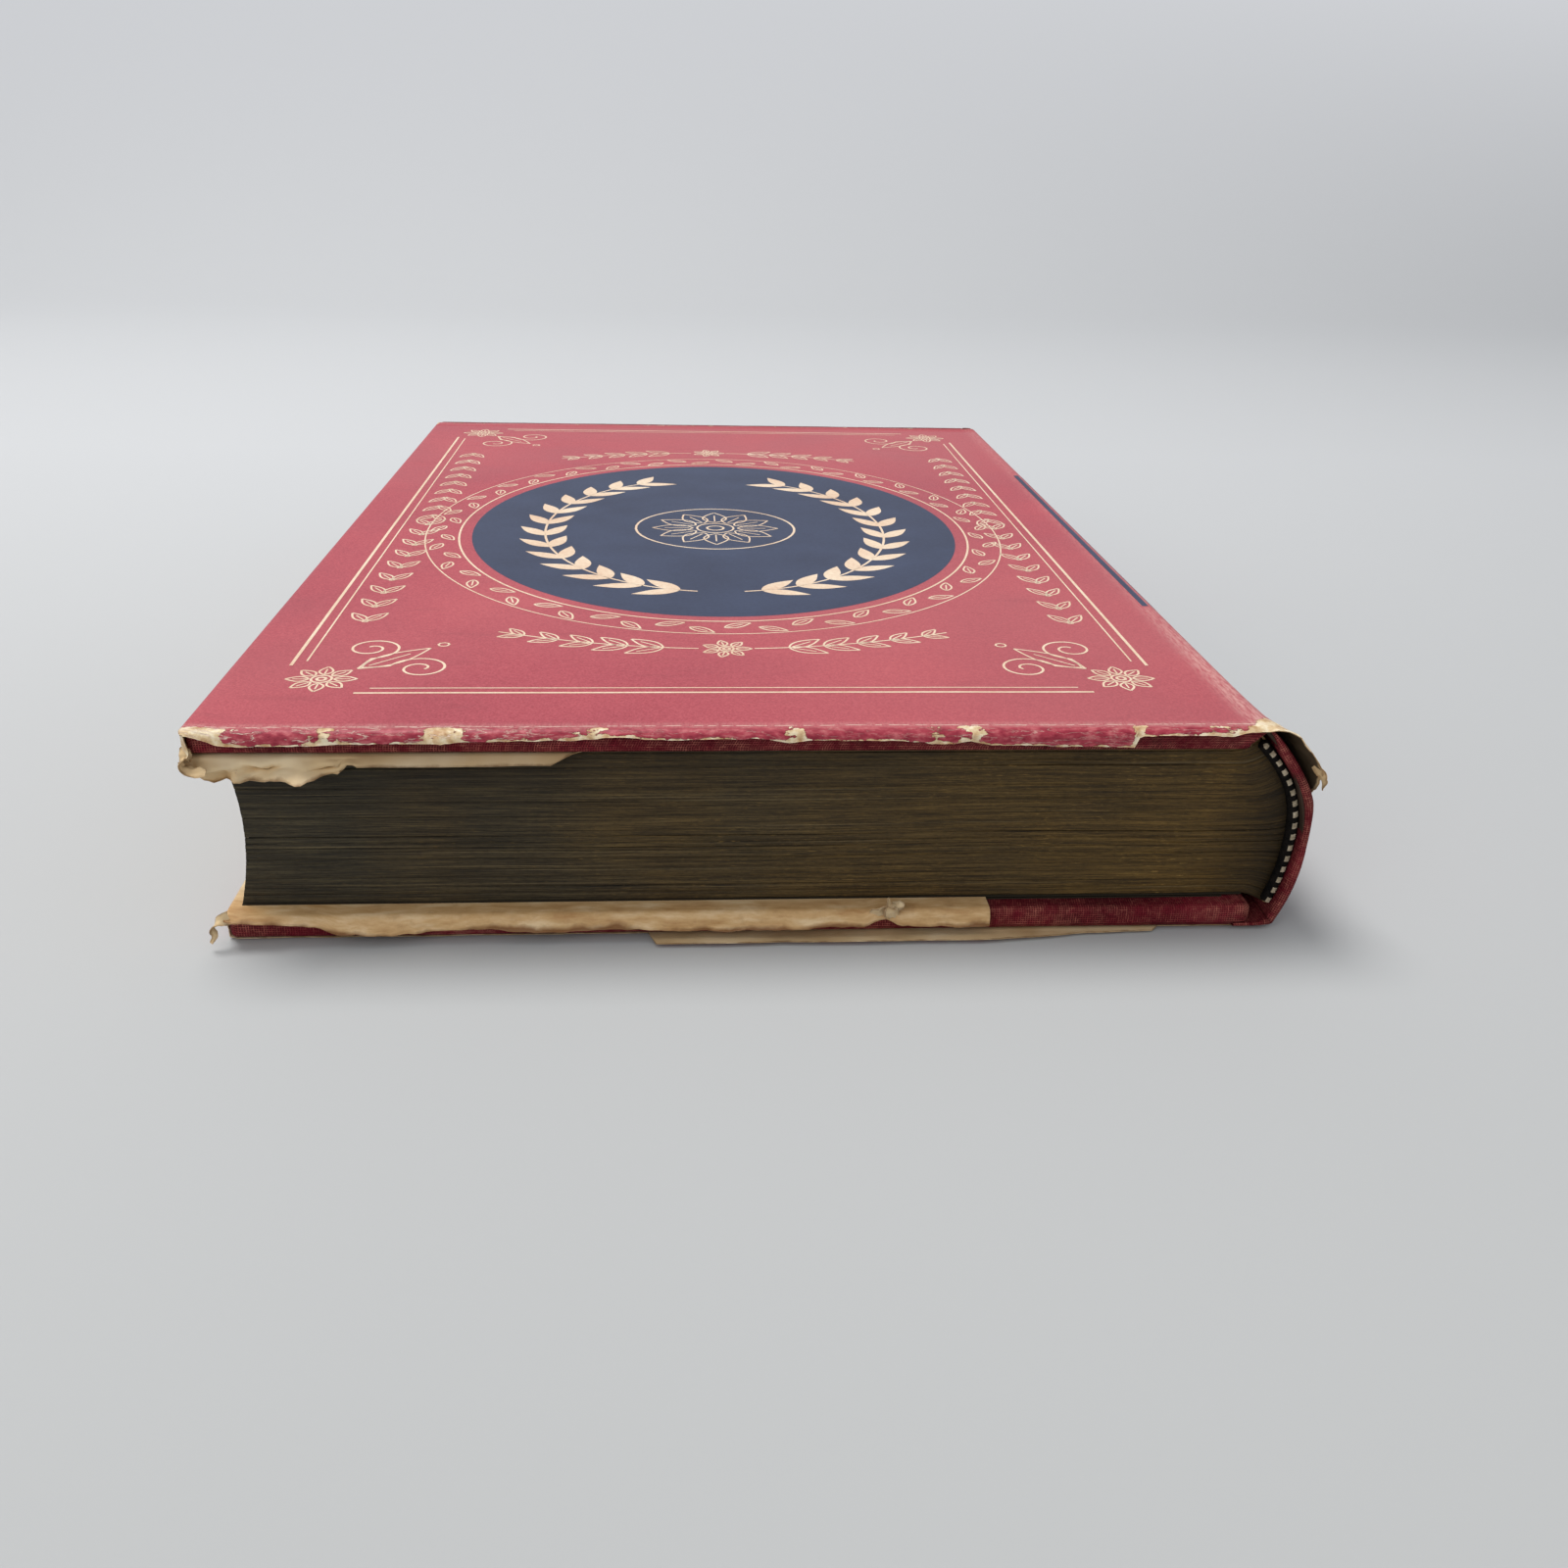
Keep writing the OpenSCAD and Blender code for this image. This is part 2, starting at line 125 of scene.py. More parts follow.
def ragged(x, step, seed):
    return rough(x, 0.5, step, seed) * 0.6 + rough(x, 0.5, step / 2.7, seed + 1) * 0.4


def ease(x, a, b):
    t = np.clip((np.asarray(x, float) - a) / (b - a), 0, 1)
    return t * t * (3 - 2 * t)


def bump_at(x, middle, width):
    return np.exp(-((np.asarray(x, float) - middle) / width) ** 2)


def folded(x, y, step, seed):
    """Like rough, but with sharp ridges, as in crumpled paper."""
    return 1 - 2 * np.abs(rough(x, y, step, seed))


print("roughness runs from", round(float(ragged(np.arange(200), 3, 1).min()), 2))

# %% [markdown]
# Nearly everything on a book is a sheet, so one helper turns a net of points into a sheet with a
# printed face, a back and cut edges. Modifiers could thicken a plane too, but building both faces
# here lets the core of the paper show along a tear, and each point carry numbers for its material,
# such as how far it is from the torn edge.

# %% Sheets from nets of points
def add_mesh(name, points, faces, face_finish=None, numbers=None, finishes=()):
    mesh = bpy.data.meshes.new(name)
    mesh.from_pydata(metres(points).tolist(), [], faces)
    for finish in finishes:
        mesh.materials.append(finish)
    if face_finish is not None:
        mesh.polygons.foreach_set("material_index", np.asarray(face_finish, np.int32))
    mesh.polygons.foreach_set("use_smooth", np.ones(len(faces), bool))
    for key, values in (numbers or {}).items():
        layer = mesh.attributes.new(key, "FLOAT", "POINT")
        layer.data.foreach_set("value", np.asarray(values, np.float32).ravel())
    mesh.update()
    made = bpy.data.objects.new(name, mesh)
    bpy.context.collection.objects.link(made)
    return made


def net_faces(n, m, first=0, flip=False):
    i, j = np.meshgrid(np.arange(n - 1), np.arange(m - 1), indexing="ij")
    a = first + (i * m + j).ravel()
    quads = np.stack([a, a + m, a + m + 1, a + 1], 1)
    return quads[:, ::-1] if flip else quads


def net_normals(net):
    along = np.gradient(net, axis=0)
    across = np.gradient(net, axis=1)
    n = np.cross(along, across)
    return n / np.maximum(np.linalg.norm(n, axis=2, keepdims=True), 1e-9)


def sheet_of(name, net, thick, numbers, finishes, flip=False):
    n, m = net.shape[:2]
    normals = net_normals(net) * (-1 if flip else 1)
    points = np.concatenate([net.reshape(-1, 3), (net - normals * thick).reshape(-1, 3)])
    count = n * m
    ring = [i * m for i in range(n)] + [(n - 1) * m + j for j in range(1, m)]
    ring += [i * m + m - 1 for i in range(n - 2, -1, -1)] + [j for j in range(m - 2, 0, -1)]
    rim = np.array([[ring[k - 1], ring[k], ring[k] + count, ring[k - 1] + count] for k in range(len(ring))])
    rim = rim[:, ::-1] if flip else rim
    faces = np.concatenate([net_faces(n, m, 0, flip), net_faces(n, m, count, not flip), rim])
    quads = (n - 1) * (m - 1)
    side = [0] * quads + [1] * (quads + len(rim))
    doubled = {k: np.concatenate([np.ravel(v), np.ravel(v)]) for k, v in numbers.items()}
    made = add_mesh(name, points, faces.tolist(), side, doubled, finishes)
    made.data.polygons.foreach_set("use_smooth", [True] * (2 * quads) + [False] * len(rim))
    return made


print("sheets are ready to cut")

# %% [markdown]
# A material in Blender is a small machine of nodes. Writing each node out takes many lines, so this
# helper gives the usual steps short names: read a number from the mesh, add noise, pick colours
# along a scale, mix, and raise a bump. Every finish of the book is built with it.

# %% A short way to write materials
class Finish:
    def __init__(self, name, roughness=0.7):
        self.material = bpy.data.materials.new(name)
        self.material.use_nodes = True
        self.tree = self.material.node_tree
        self.shader = self.tree.nodes["Principled BSDF"]
        self.shader.inputs["Roughness"].default_value = roughness
        self.shader.inputs["Specular IOR Level"].default_value = 0.3

    def node(self, kind, inputs=(), out=0, **settings):
        made = self.tree.nodes.new("ShaderNode" + kind)
        for key, value in settings.items():
            setattr(made, key, value)
        for key, value in dict(inputs).items():
            if isinstance(value, bpy.types.NodeSocket):
                self.tree.links.new(value, made.inputs[key])
            else:
                made.inputs[key].default_value = value
        return made.outputs[out]

    def number(self, name):
        return self.node("Attribute", out="Fac", attribute_name=name)

    def place(self):
        return self.node("TexCoord", out="Object")

    def math(self, what, a, b=0.0, c=0.0):
        return self.node("Math", {0: a, 1: b, 2: c}, operation=what)

    def times(self, a, b):
        return self.math("MULTIPLY", a, b)

    def plus(self, a, b):
        return self.math("ADD", a, b)

    def most(self, a, b):
        return self.math("MAXIMUM", a, b)

    def span(self, value, low, high, a=0.0, b=1.0):
        inputs = {"Value": value, "From Min": low, "From Max": high, "To Min": a, "To Max": b}
        return self.node("MapRange", inputs)

    def joined(self, x=0.0, y=0.0, z=0.0):
        return self.node("CombineXYZ", {"X": x, "Y": y, "Z": z})

    def noise(self, vector, scale, detail=3.0, rough_share=0.55):
        inputs = {"Vector": vector, "Scale": scale, "Detail": detail, "Roughness": rough_share}
        return self.node("TexNoise", inputs)

    def stretched(self, a, by_a, b, by_b, detail=3.0, rough_share=0.55, seed=0.0):
        """Noise drawn out along two numbers of the mesh."""
        return self.noise(self.joined(self.times(a, by_a), self.times(b, by_b), seed), 1, detail, rough_share)

    def shared(self, share, a, b):
        """A share of one noise and the rest of the other."""
        return self.plus(self.times(a, share), self.times(b, round(1 - share, 2)))

    def scale(self, value, stops):
        made = self.tree.nodes.new("ShaderNodeValToRGB")
        ramp = made.color_ramp
        while len(ramp.elements) < len(stops):
            ramp.elements.new(0.5)
        for element, (at, colour) in zip(ramp.elements, stops):
            element.position = at
            element.color = paint(colour)
        self.tree.links.new(value, made.inputs["Fac"])
        return made.outputs["Color"]

    def mix(self, share, a, b, how="MIX"):
        a, b = (paint(c) if isinstance(c, str) else c for c in (a, b))
        inputs = {0: share, 6: a, 7: b}
        return self.node("Mix", inputs, out=2, data_type="RGBA", blend_type=how)

    def bump(self, height, strength, depth_mm, under=None):
        inputs = {"Height": height, "Strength": strength, "Distance": depth_mm * MM}
        if under is not None:
            inputs["Normal"] = under
        return self.node("Bump", inputs)

    def set(self, name, value):
        if isinstance(value, bpy.types.NodeSocket):
            self.tree.links.new(value, self.shader.inputs[name])
        else:
            self.shader.inputs[name].default_value = paint(value) if isinstance(value, str) else value


def paint(colour):
    channels = [int(colour[i:i + 2], 16) / 255 for i in (1, 3, 5)]
    return tuple(c / 12.92 if c <= 0.04045 else ((c + 0.055) / 1.055) ** 2.4 for c in channels) + (1,)


print("rose is", [round(c, 3) for c in paint("#bc606b")])

# %% [markdown]
# The jacket was printed in one flat rose on cream paper, and sixty years have faded it, rubbed it
# and flaked it along every fold. The colour therefore depends on two numbers on the mesh: how far a
# point lies from the nearest torn edge, and how hard it has been worn. Where noise falls below the
# wear, the cream core shows, with a brown rim round it. The turned-down lip kept its deeper crimson.
# On the unprinted, crumpled tongue of the flap, the wear number carries painted shade in the valleys
# and the rub number a painted highlight on the ridges.

# %% Finish: the printed side of the jacket
def printed_side():
    f = Finish("jacket_print", 0.5)
    place = f.place()
    wear, edge, fade, across = f.number("wear"), f.number("edge"), f.number("fade"), f.number("across")
    cloud = f.noise(place, 30, 2)
    speck = f.noise(place, 3000, 2, 0.7)
    tone = f.shared(0.3, cloud, speck)
    rose = f.scale(tone, [(0.34, "#97323f"), (0.5, "#aa4450"), (0.66, "#bb565e")])
    rose = f.mix(f.span(f.noise(place, 9, 2), 0.42, 0.7, 0, 0.3), rose, "#bd6a6b")
    smudge = f.stretched(across, 0.05, edge, 0.22, 4)
    rose = f.mix(f.span(smudge, 0.6, 0.75, 0, 0.25), rose, "#7d2f38")
    crimson = f.scale(f.noise(f.joined(across, f.times(edge, 2)), 0.6, 4),
                      [(0.35, "#8a2034"), (0.52, "#a73848"), (0.68, "#c2666b")])
    ink = f.mix(fade, crimson, rose)
    rubbed = f.stretched(across, 2.2, edge, 0.35, 5, 0.65)
    ink = f.mix(f.times(f.number("rub"), f.span(rubbed, 0.36, 0.6)), ink, "#d9aaa2")
    even = f.shared(0.65, f.noise(place, 420, 4, 0.6), f.noise(place, 1900, 3))
    drawn_out = f.stretched(across, 0.4, edge, 1.5, 5, 0.62)
    flake = f.shared(0.5, even, drawn_out)
    flake = f.mix(fade, flake, even)
    patchy = f.span(f.noise(f.joined(f.times(across, 0.3), 7.0), 1, 3), 0.4, 0.6, 0.3, 1)
    worn = f.plus(wear, f.times(patchy, f.span(edge, 0, 0.55, 0.42, 0)))
    chipped = f.math("SUBTRACT", worn, flake)
    core = f.scale(f.noise(place, 600, 4), [(0.35, "#b98f63"), (0.5, "#dcc39a"), (0.62, "#f0e2c4")])
    body = f.mix(f.span(chipped, -0.03, -0.008), ink, "#7a3a30")
    body = f.mix(f.span(chipped, -0.005, 0.012), body, core)
    crack = f.stretched(across, 0.13, edge, 0.95, 4, 0.6)
    away = f.math("ABSOLUTE", f.math("SUBTRACT", crack, 0.5))
    split = f.times(f.number("crease"), f.span(away, 0.004, 0.016, 1, 0))
    broken = f.span(f.noise(f.joined(f.times(across, 0.5), 3.0), 1, 4), 0.44, 0.52)
    line = f.span(f.math("ABSOLUTE", f.number("line")), 0.05, 0.1, 1, 0)
    split = f.most(split, f.times(line, broken))
    body = f.mix(split, body, "#ecd3c2")
    stain = f.stretched(across, 0.12, edge, 0.5, 5, 0.65)
    bare = f.scale(stain, [(0.33, "#bb8f5c"), (0.5, "#d4ae7b"), (0.66, "#e8cba0")])
    # pale pink where rubbed; on the crumpled tongue this is a painted highlight on the ridges
    bare = f.mix(f.span(f.number("rub"), 0, 1, 0, 0.8), bare, "#f8e2d0")
    # brown where worn; on the crumpled tongue this is painted shade in its valleys and along its upper band
    bare = f.mix(f.span(wear, 0.25, 1.0, 0, 0.9), bare, "#8a572c")
    bare = f.mix(f.span(f.noise(place, 420, 4), 0.55, 0.75, 0, 0.4), bare, "#a87a50")
    singed = f.plus(edge, f.times(f.noise(place, 380, 4), 1.5))
    singed = f.plus(singed, f.span(f.noise(place, 75, 2), 0.4, 0.6, -0.5, 0.35))
    bare = f.mix(f.span(singed, 0.7, 1.45, 0.85, 0), bare, "#74461f")
    kept = f.scale(f.shared(0.6, cloud, speck),
                   [(0.35, "#d2bd96"), (0.65, "#e2d2b0")])
    bare = f.mix(f.span(edge, 4.5, 13), bare, kept)
    f.set("Base Color", f.mix(f.math("GREATER_THAN", f.number("unprinted"), 0.5), body, bare))
    f.set("Roughness", f.span(cloud, 0.3, 0.7, 0.42, 0.54))
    fibre = f.bump(speck, 0.2, 0.05)
    raised = f.math("SUBTRACT", f.span(chipped, -0.02, 0.02, 1, 0), split)
    f.set("Normal", f.bump(raised, 0.6, 0.14, fibre))
    return f.material


jacket_print = printed_side()
print("made", jacket_print.name)

# %% [markdown]
# The back of the jacket paper, and its torn core, went tan where air reached it. Brown follows the
# torn edges, and fine fibres give it a soft tooth. The inside of the torn spine is darkened nearly to
# black, as painted shade.

# %% Finish: the bare side of the jacket
def bare_side():
    f = Finish("jacket_paper_back", 0.66)
    place = f.place()
    cloud = f.noise(place, 60, 4)
    tan = f.scale(cloud, [(0.3, "#b8966a"), (0.5, "#d8bc90"), (0.7, "#ecd9b6")])
    burn = f.span(f.plus(f.number("edge"), f.times(f.noise(place, 500, 3), 1.4)), 0.5, 1.1, 0.7, 0)
    tan = f.mix(burn, tan, "#734a26")
    # painted shade: the inside of the torn spine goes nearly black
    f.set("Base Color", f.mix(f.times(f.number("grime"), 0.9), tan, "#1d120c"))
    f.set("Normal", f.bump(f.noise(place, 1500, 3), 0.2, 0.05))
    return f.material


jacket_back = bare_side()
print("made", jacket_back.name)

# %% [markdown]
# Book cloth is a plain weave, filled with starch and dyed. Its threads lie about half a millimetre
# apart, and rubbing leaves their tops paler than the gaps. Two waves at right angles, counted along
# the cloth itself and not in space, follow the weave round the edges of the boards.

# %% Finish: book cloth
def book_cloth():
    f = Finish("book_cloth", 0.8)
    place = f.place()
    pitch = 0.37
    sway = f.times(f.noise(place, 260, 2), 0.35)
    threads, waves = [], []
    for one, other, shift in (("warp", "weft", 0.0), ("weft", "warp", 40.0)):
        count = f.plus(f.math("DIVIDE", f.number(one), pitch), sway)
        wave = f.math("COSINE", f.times(count, 2 * math.pi))
        which = f.times(f.math("FLOOR", f.plus(count, 0.5)), 5.3)
        along = f.times(f.number(other), 0.55)
        pale = f.noise(f.joined(which, along, shift), 1, 4, 0.7)
        threads.append(f.times(f.span(wave, 0.2, 0.95), f.span(pale, 0.46, 0.74)))
        waves.append(wave)
    thread = f.most(*threads)
    weave = f.plus(f.most(*waves), f.times(thread, 0.8))
    dyed = f.scale(f.noise(place, 70, 4), [(0.3, "#3b0811"), (0.5, "#5e0e1c"), (0.7, "#7a1a2a")])
    rubbed = f.scale(f.noise(place, 500, 3), [(0.35, "#a33c44"), (0.6, "#cb7c6c")])
    patch = f.span(f.noise(place, 700, 4, 0.7), 0.36, 0.62, 0.25, 1)
    over = f.times(f.times(f.number("rub"), patch), f.span(weave, -0.2, 1.3, 0.1, 0.85))
    f.set("Base Color", f.mix(f.plus(f.times(thread, 0.75), over), dyed, rubbed))
    f.set("Normal", f.bump(weave, 0.8, 0.1))
    f.shader.inputs["Specular IOR Level"].default_value = 0.12
    return f.material


cloth = book_cloth()
print("made", cloth.name)

# %% [markdown]
# The pages were sewn in gatherings, so their edges aren't smooth: each gathering stands a little
# in or out, with a dark groove beside it. Leaves run flat from the hollow fore-edge and fan out at
# the spine, where backing turned the outer ones into shoulders. The block is made leaf by leaf: one
# closed loop round the book for each level, and the loops joined into walls.

# %% The text block
fore_u = 4
hollow = 1.8
leaf_v0, leaf_v1 = 3, 232
leaf_z0, leaf_z1 = 4.6, 29.6
spine_mid = np.array([137.609, 13.295])
back_r = 25.24
front_tip_angle, rear_tip_angle = math.radians(44.86), math.radians(-23.83)
gatherings = 26


def leaf_line(t, share):
    """u and z of a point on leaf t; share is 0 at the fore-edge, 1 at the bend, 2 at the spine."""
    start = fore_u + hollow * (1 - (2 * t - 1) ** 2)
    angle = rear_tip_angle + t * (front_tip_angle - rear_tip_angle)
    end = spine_mid + back_r * np.array([math.cos(angle), math.sin(angle)])
    level = leaf_z0 + t * (leaf_z1 - leaf_z0)
    bend = end[0] - 4.2
    flat, turned = np.minimum(share, 1), np.maximum(share - 1, 0)
    return start + (bend - start) * flat + 4.2 * turned, level + (end[1] - level) * turned ** 1.7


def text_block_loops():
    parts = (0, 0.05, 0.13, 0.3, 0.5, 0.7, 0.87, 0.95)
    bounds = np.cumsum([0] + [1 + 0.45 * scramble(g, 7, 3) for g in range(gatherings)])
    bounds /= bounds[-1]
    levels, group, inside = [], [], []
    for g in range(gatherings):
        levels += [bounds[g] + (bounds[g + 1] - bounds[g]) * q for q in parts]
        group += [g] * len(parts)
        inside += parts
    levels, group, inside = np.array(levels + [1.0]), group + [gatherings - 1], np.array(inside + [1.0])
    near = np.round(np.array(group) + inside).astype(int)
    groove = np.exp(-(np.minimum(inside, 1 - inside) / 0.07) ** 2)
    groove = groove * (0.03 + 0.13 * (scramble(near, 3, 5) + 1) ** 2)
    share = np.concatenate([
        np.linspace(0, 0.004, 2), np.linspace(0.02, 1, 62), np.linspace(1.07, 1.96, 12), [2]])
    lengths = np.concatenate([[leaf_v0 + 0.4], np.linspace(leaf_v0 + 5, leaf_v1 - 5, 44), [leaf_v1 - 0.4]])
    points, leaf, along, stain = [], [], [], []
    for k, t in enumerate(levels):
        u, z = leaf_line(t, share)
        z = z + 0.22 * rough(u, t * 12, 30, 24) * math.sin(math.pi * t)
        step = 0.2 * scramble(int(group[k]), 1, 9)
        open_ = 0.6 + 0.5 * rough(u, near[k] * 40, 26, 25)
        head = leaf_v0 + 0.2 + groove[k] * open_ + step * 0.5 + 0.1 * rough(u, t * 25, 7, 21)
        back = leaf_v1 - 0.12 - groove[k] + step * 0.5 + 0.07 * rough(u, t * 25, 9, 22)
        fore = groove[k] * 0.9 + 0.22 * scramble(int(group[k]), 2, 9)
        fore = fore + 0.12 * rough(lengths, t * 40, 12, 23) + 0.1
        n, m = len(share), len(lengths)
        loop = np.concatenate([
            np.stack([u, head, z], 1),
            np.stack([np.full(m, u[-1]), lengths, np.full(m, z[-1])], 1),
            np.stack([u, back, z], 1)[::-1],
            np.stack([u[0] + fore, lengths, np.full(m, z[0])], 1)[::-1]])
        points.append(loop)
        leaf.append(np.full(len(loop), t * 25))
        along.append(np.concatenate([u, lengths, u[::-1] + 300, lengths[::-1] + 600]))
        stain.append(np.concatenate([np.ones(n), np.zeros(m + n + m)]))
    return np.array(points), np.array(leaf), np.array(along), np.array(stain), len(share), len(lengths)


def text_block_mesh(finish):
    points, leaf, along, stain, n, m = text_block_loops()
    rows, loop = points.shape[:2]
    faces = []
    for k in range(rows - 1):
        a = k * loop
        for i in range(loop):
            j = (i + 1) % loop
            faces.append([a + i, a + j, a + loop + j, a + loop + i])
    for first, flip in ((0, True), ((rows - 1) * loop, False)):
        back = [first + n + m + n - 1 - i for i in range(n)]
        caps = [[first + i, first + i + 1, back[i + 1], back[i]] for i in range(1, n - 2)]
        caps.append([first, first + 1, back[1], back[0]] + [first + n + m + n + i for i in range(m)])
        caps.append([first + n - 2] + [first + n - 1 + i for i in range(m + 1)] + [back[n - 1], back[n - 2]])
        faces += [c[::-1] for c in caps] if flip else caps
    made = add_mesh("pages", points.reshape(-1, 3), faces, None,
                    {"leaf": leaf, "along": along, "stain": stain}, [finish])
    return made


def page_edges():
    f = Finish("page_edges", 0.72)
    leaf, along, stain = f.number("leaf"), f.number("along"), f.number("stain")
    place = f.place()
    fine = f.stretched(along, 0.11, leaf, 7, 4, 0.75)
    broad = f.stretched(along, 0.04, leaf, 1.5, 3)
    cloud = f.noise(place, 38, 5)
    lines = f.shared(0.65, fine, broad)
    coal = f.scale(lines, [(0.36, "#14120c"), (0.5, "#383225"), (0.66, "#5b523b")])
    olive = f.scale(lines, [(0.36, "#2a1d08"), (0.5, "#61481b"), (0.66, "#8c6a2c")])
    drift = f.plus(f.span(along, 20, 150, 0, 0.75), f.span(cloud, 0.35, 0.65, -0.14, 0.14))
    head_colour = f.mix(drift, coal, olive)
    thin = f.stretched(along, 0.009, leaf, 2.6, 3, 0.6)
    head_colour = f.mix(f.span(thin, 0.61, 0.66, 0, 0.5), head_colour, "#7f6f50")
    fleck = f.stretched(along, 0.5, leaf, 4, 3, seed=3)
    scuff = f.times(f.span(fleck, 0.6, 0.72, 0, 0.7), f.span(f.noise(place, 90, 3), 0.42, 0.62))
    head_colour = f.mix(f.times(scuff, f.span(along, 30, 150, 0.2, 1)), head_colour, "#b08c4c")
    # painted shadow: the upper leaves under the cover are darker, most towards the fore-edge
    shade = f.times(f.span(leaf, 14, 24, 0, 0.5), f.span(along, 20, 120, 1, 0.35))
    grain = f.stretched(along, 0.9, leaf, 3.6, 4, 0.7, seed=9)
    head_colour = f.mix(f.span(grain, 0.36, 0.5, 0.35, 0), head_colour, "#110d07")
    toned = f.times(f.span(grain, 0.6, 0.74, 0, 0.35), f.span(along, 30, 130, 0.1, 1))
    head_colour = f.mix(toned, head_colour, "#ad8f58")
    # painted shade: near black at the spine end of the head edge and over the shadowed upper leaves
    painted_head_shade = f.most(f.span(along, 150, 160, 0, 0.7), shade)
    head_colour = f.mix(painted_head_shade, head_colour, "#0b0906")
    plain = f.scale(lines, [(0.34, "#96825f"), (0.5, "#c8b490"), (0.66, "#e0cfae")])
    plain = f.mix(f.span(cloud, 0.5, 0.75, 0, 0.35), plain, "#9c7f52")
    f.set("Base Color", f.mix(stain, plain, head_colour))
    f.set("Normal", f.bump(f.plus(lines, f.times(grain, 0.5)), 0.8, 0.2))
    return f.material


pages = text_block_mesh(page_edges())
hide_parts("text_block")
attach(pages, "text_block")
print("pages:", len(pages.data.vertices), "points")

# %% [markdown]
# A headband is thread wound over a cord, in turns of black and cream. Every turn is modelled as its
# own small ridge round the cord, and a number on the mesh counts the turns, so that the material
# can dye three of them cream and three black. The cream shows only on the side of a turn that faces
# out; its other sides are painted black, partly as painted shade.

# %% Headband and tailband
cord_r = 0.88
turn_w = 0.305
cord_line_r = back_r + 0.3 - 0.9


def band_finish():
    f = Finish("band_thread", 0.8)
    turn = f.math("FLOOR", f.number("turn"))
    group = f.math("MODULO", turn, 6)
    # cream only where a turn faces out; the rest of a cream turn is painted black, partly painted shade
    pale = f.times(f.math("LESS_THAN", group, 2.5), f.span(f.number("facing"), 0.82, 0.9))
    cream = f.scale(f.noise(f.place(), 900, 3), [(0.35, "#94866f"), (0.65, "#cbbda6")])
    black = f.scale(f.noise(f.place(), 900, 3), [(0.35, "#080707"), (0.65, "#1a1613")])
    f.set("Base Color", f.mix(pale, black, cream))
    f.shader.inputs["Specular IOR Level"].default_value = 0.1
    strands = f.math("SINE", f.times(f.number("twist"), 9))
    f.set("Normal", f.bump(strands, 0.5, 0.05))
    return f.material


def fuller(z, v):
    """How far the spine's head swells beyond a true arc."""
    return bump_at(z, 21.5, 7) * (1 - ease(v, 12, 45))


def wound_band(name, end, out, node, finish):
    inset = math.asin(0.7 / back_r)
    a0, a1 = rear_tip_angle + inset, front_tip_angle - inset
    turns = int((a1 - a0) * cord_line_r / turn_w)
    steps = 5
    angle = np.linspace(a0, a1, turns * steps + 1)
    phase = np.linspace(0, turns, turns * steps + 1)
    round_ = np.linspace(0, 2 * math.pi, 19)[:-1]
    ridge = cord_r * (0.9 + 0.1 * np.abs(np.sin(phase * math.pi)))
    ridge *= 1 + 0.03 * rough(phase, 0, 3, 41)
    ridge[[0, -1]] *= 0.3
    mid_v = end + out * 0.9
    points, turn, twist, facing = [], [], [], []
    for a, r, p in zip(angle, ridge, phase):
        lean = 0.10 * np.sin(round_)
        reach = cord_line_r + 0.25 + r * np.cos(round_)
        if out < 0:
            reach = reach + 0.75 * fuller(spine_mid[1] + reach * math.sin(a), end)
        points.append(np.stack([spine_mid[0] + reach * np.cos(a + lean / 24),
                                mid_v + r * np.sin(round_),
                                spine_mid[1] + reach * np.sin(a + lean / 24)], 1))
        turn.append(np.full(18, p + 0.001))
        twist.append(round_ + p)
        facing.append(np.cos(round_ - out * math.radians(78)))
    n, m = len(points), 18
    faces = [[i * m + j, (i + 1) * m + j, (i + 1) * m + (j + 1) % m, i * m + (j + 1) % m]
             for i in range(n - 1) for j in range(m)]
    faces += [list(range(m)), [(n - 1) * m + j for j in range(m)][::-1]]
    made = add_mesh(name, np.array(points).reshape(-1, 3), [f[::-1] for f in faces], None,
                    {"turn": np.array(turn), "twist": np.array(twist), "facing": np.array(facing)}, [finish])
    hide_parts(node)
    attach(made, "text_block")
    print(name, "has", turns, "turns of thread")
    return made


thread = band_finish()
wound_band("head_band_thread", leaf_v0, -1, "headband", thread)
wound_band("tail_band_thread", leaf_v1, 1, "tailband", thread)

# %% [markdown]
# Each board is wrapped in cloth that is drawn round its edges and turned in on the inner side. The
# cloth is built as rings: each is a rectangle with rounded corners, and walking from ring to ring
# goes over the outer face, round the edge and over the turn-in. The edges keep a binder's soft
# corner, and two numbers count the threads along the cloth as it goes round.

# %% Cloth on the boards
edge_r = 0.9


def ring_points(u0, u1, v0, v1, r):
    points, outward = [], []
    corners = ((u1 - r, v0 + r, -90), (u1 - r, v1 - r, 0), (u0 + r, v1 - r, 90), (u0 + r, v0 + r, 180))
    for k, (cu, cv, start) in enumerate(corners):
        for a in np.radians(np.linspace(start, start + 90, 5)):
            points.append((cu + r * math.cos(a), cv + r * math.sin(a)))
            outward.append((math.cos(a), math.sin(a)))
        nu, nv, turn = corners[(k + 1) % 4]
        a = math.radians(turn)
        goal = np.array([nu + r * math.cos(a), nv + r * math.sin(a)])
        last = np.array(points[-1])
        for s in np.linspace(0, 1, 34)[1:-1]:
            points.append(tuple(last + (goal - last) * s))
            outward.append((math.cos(a), math.sin(a)))
    return np.array(points), np.array(outward)


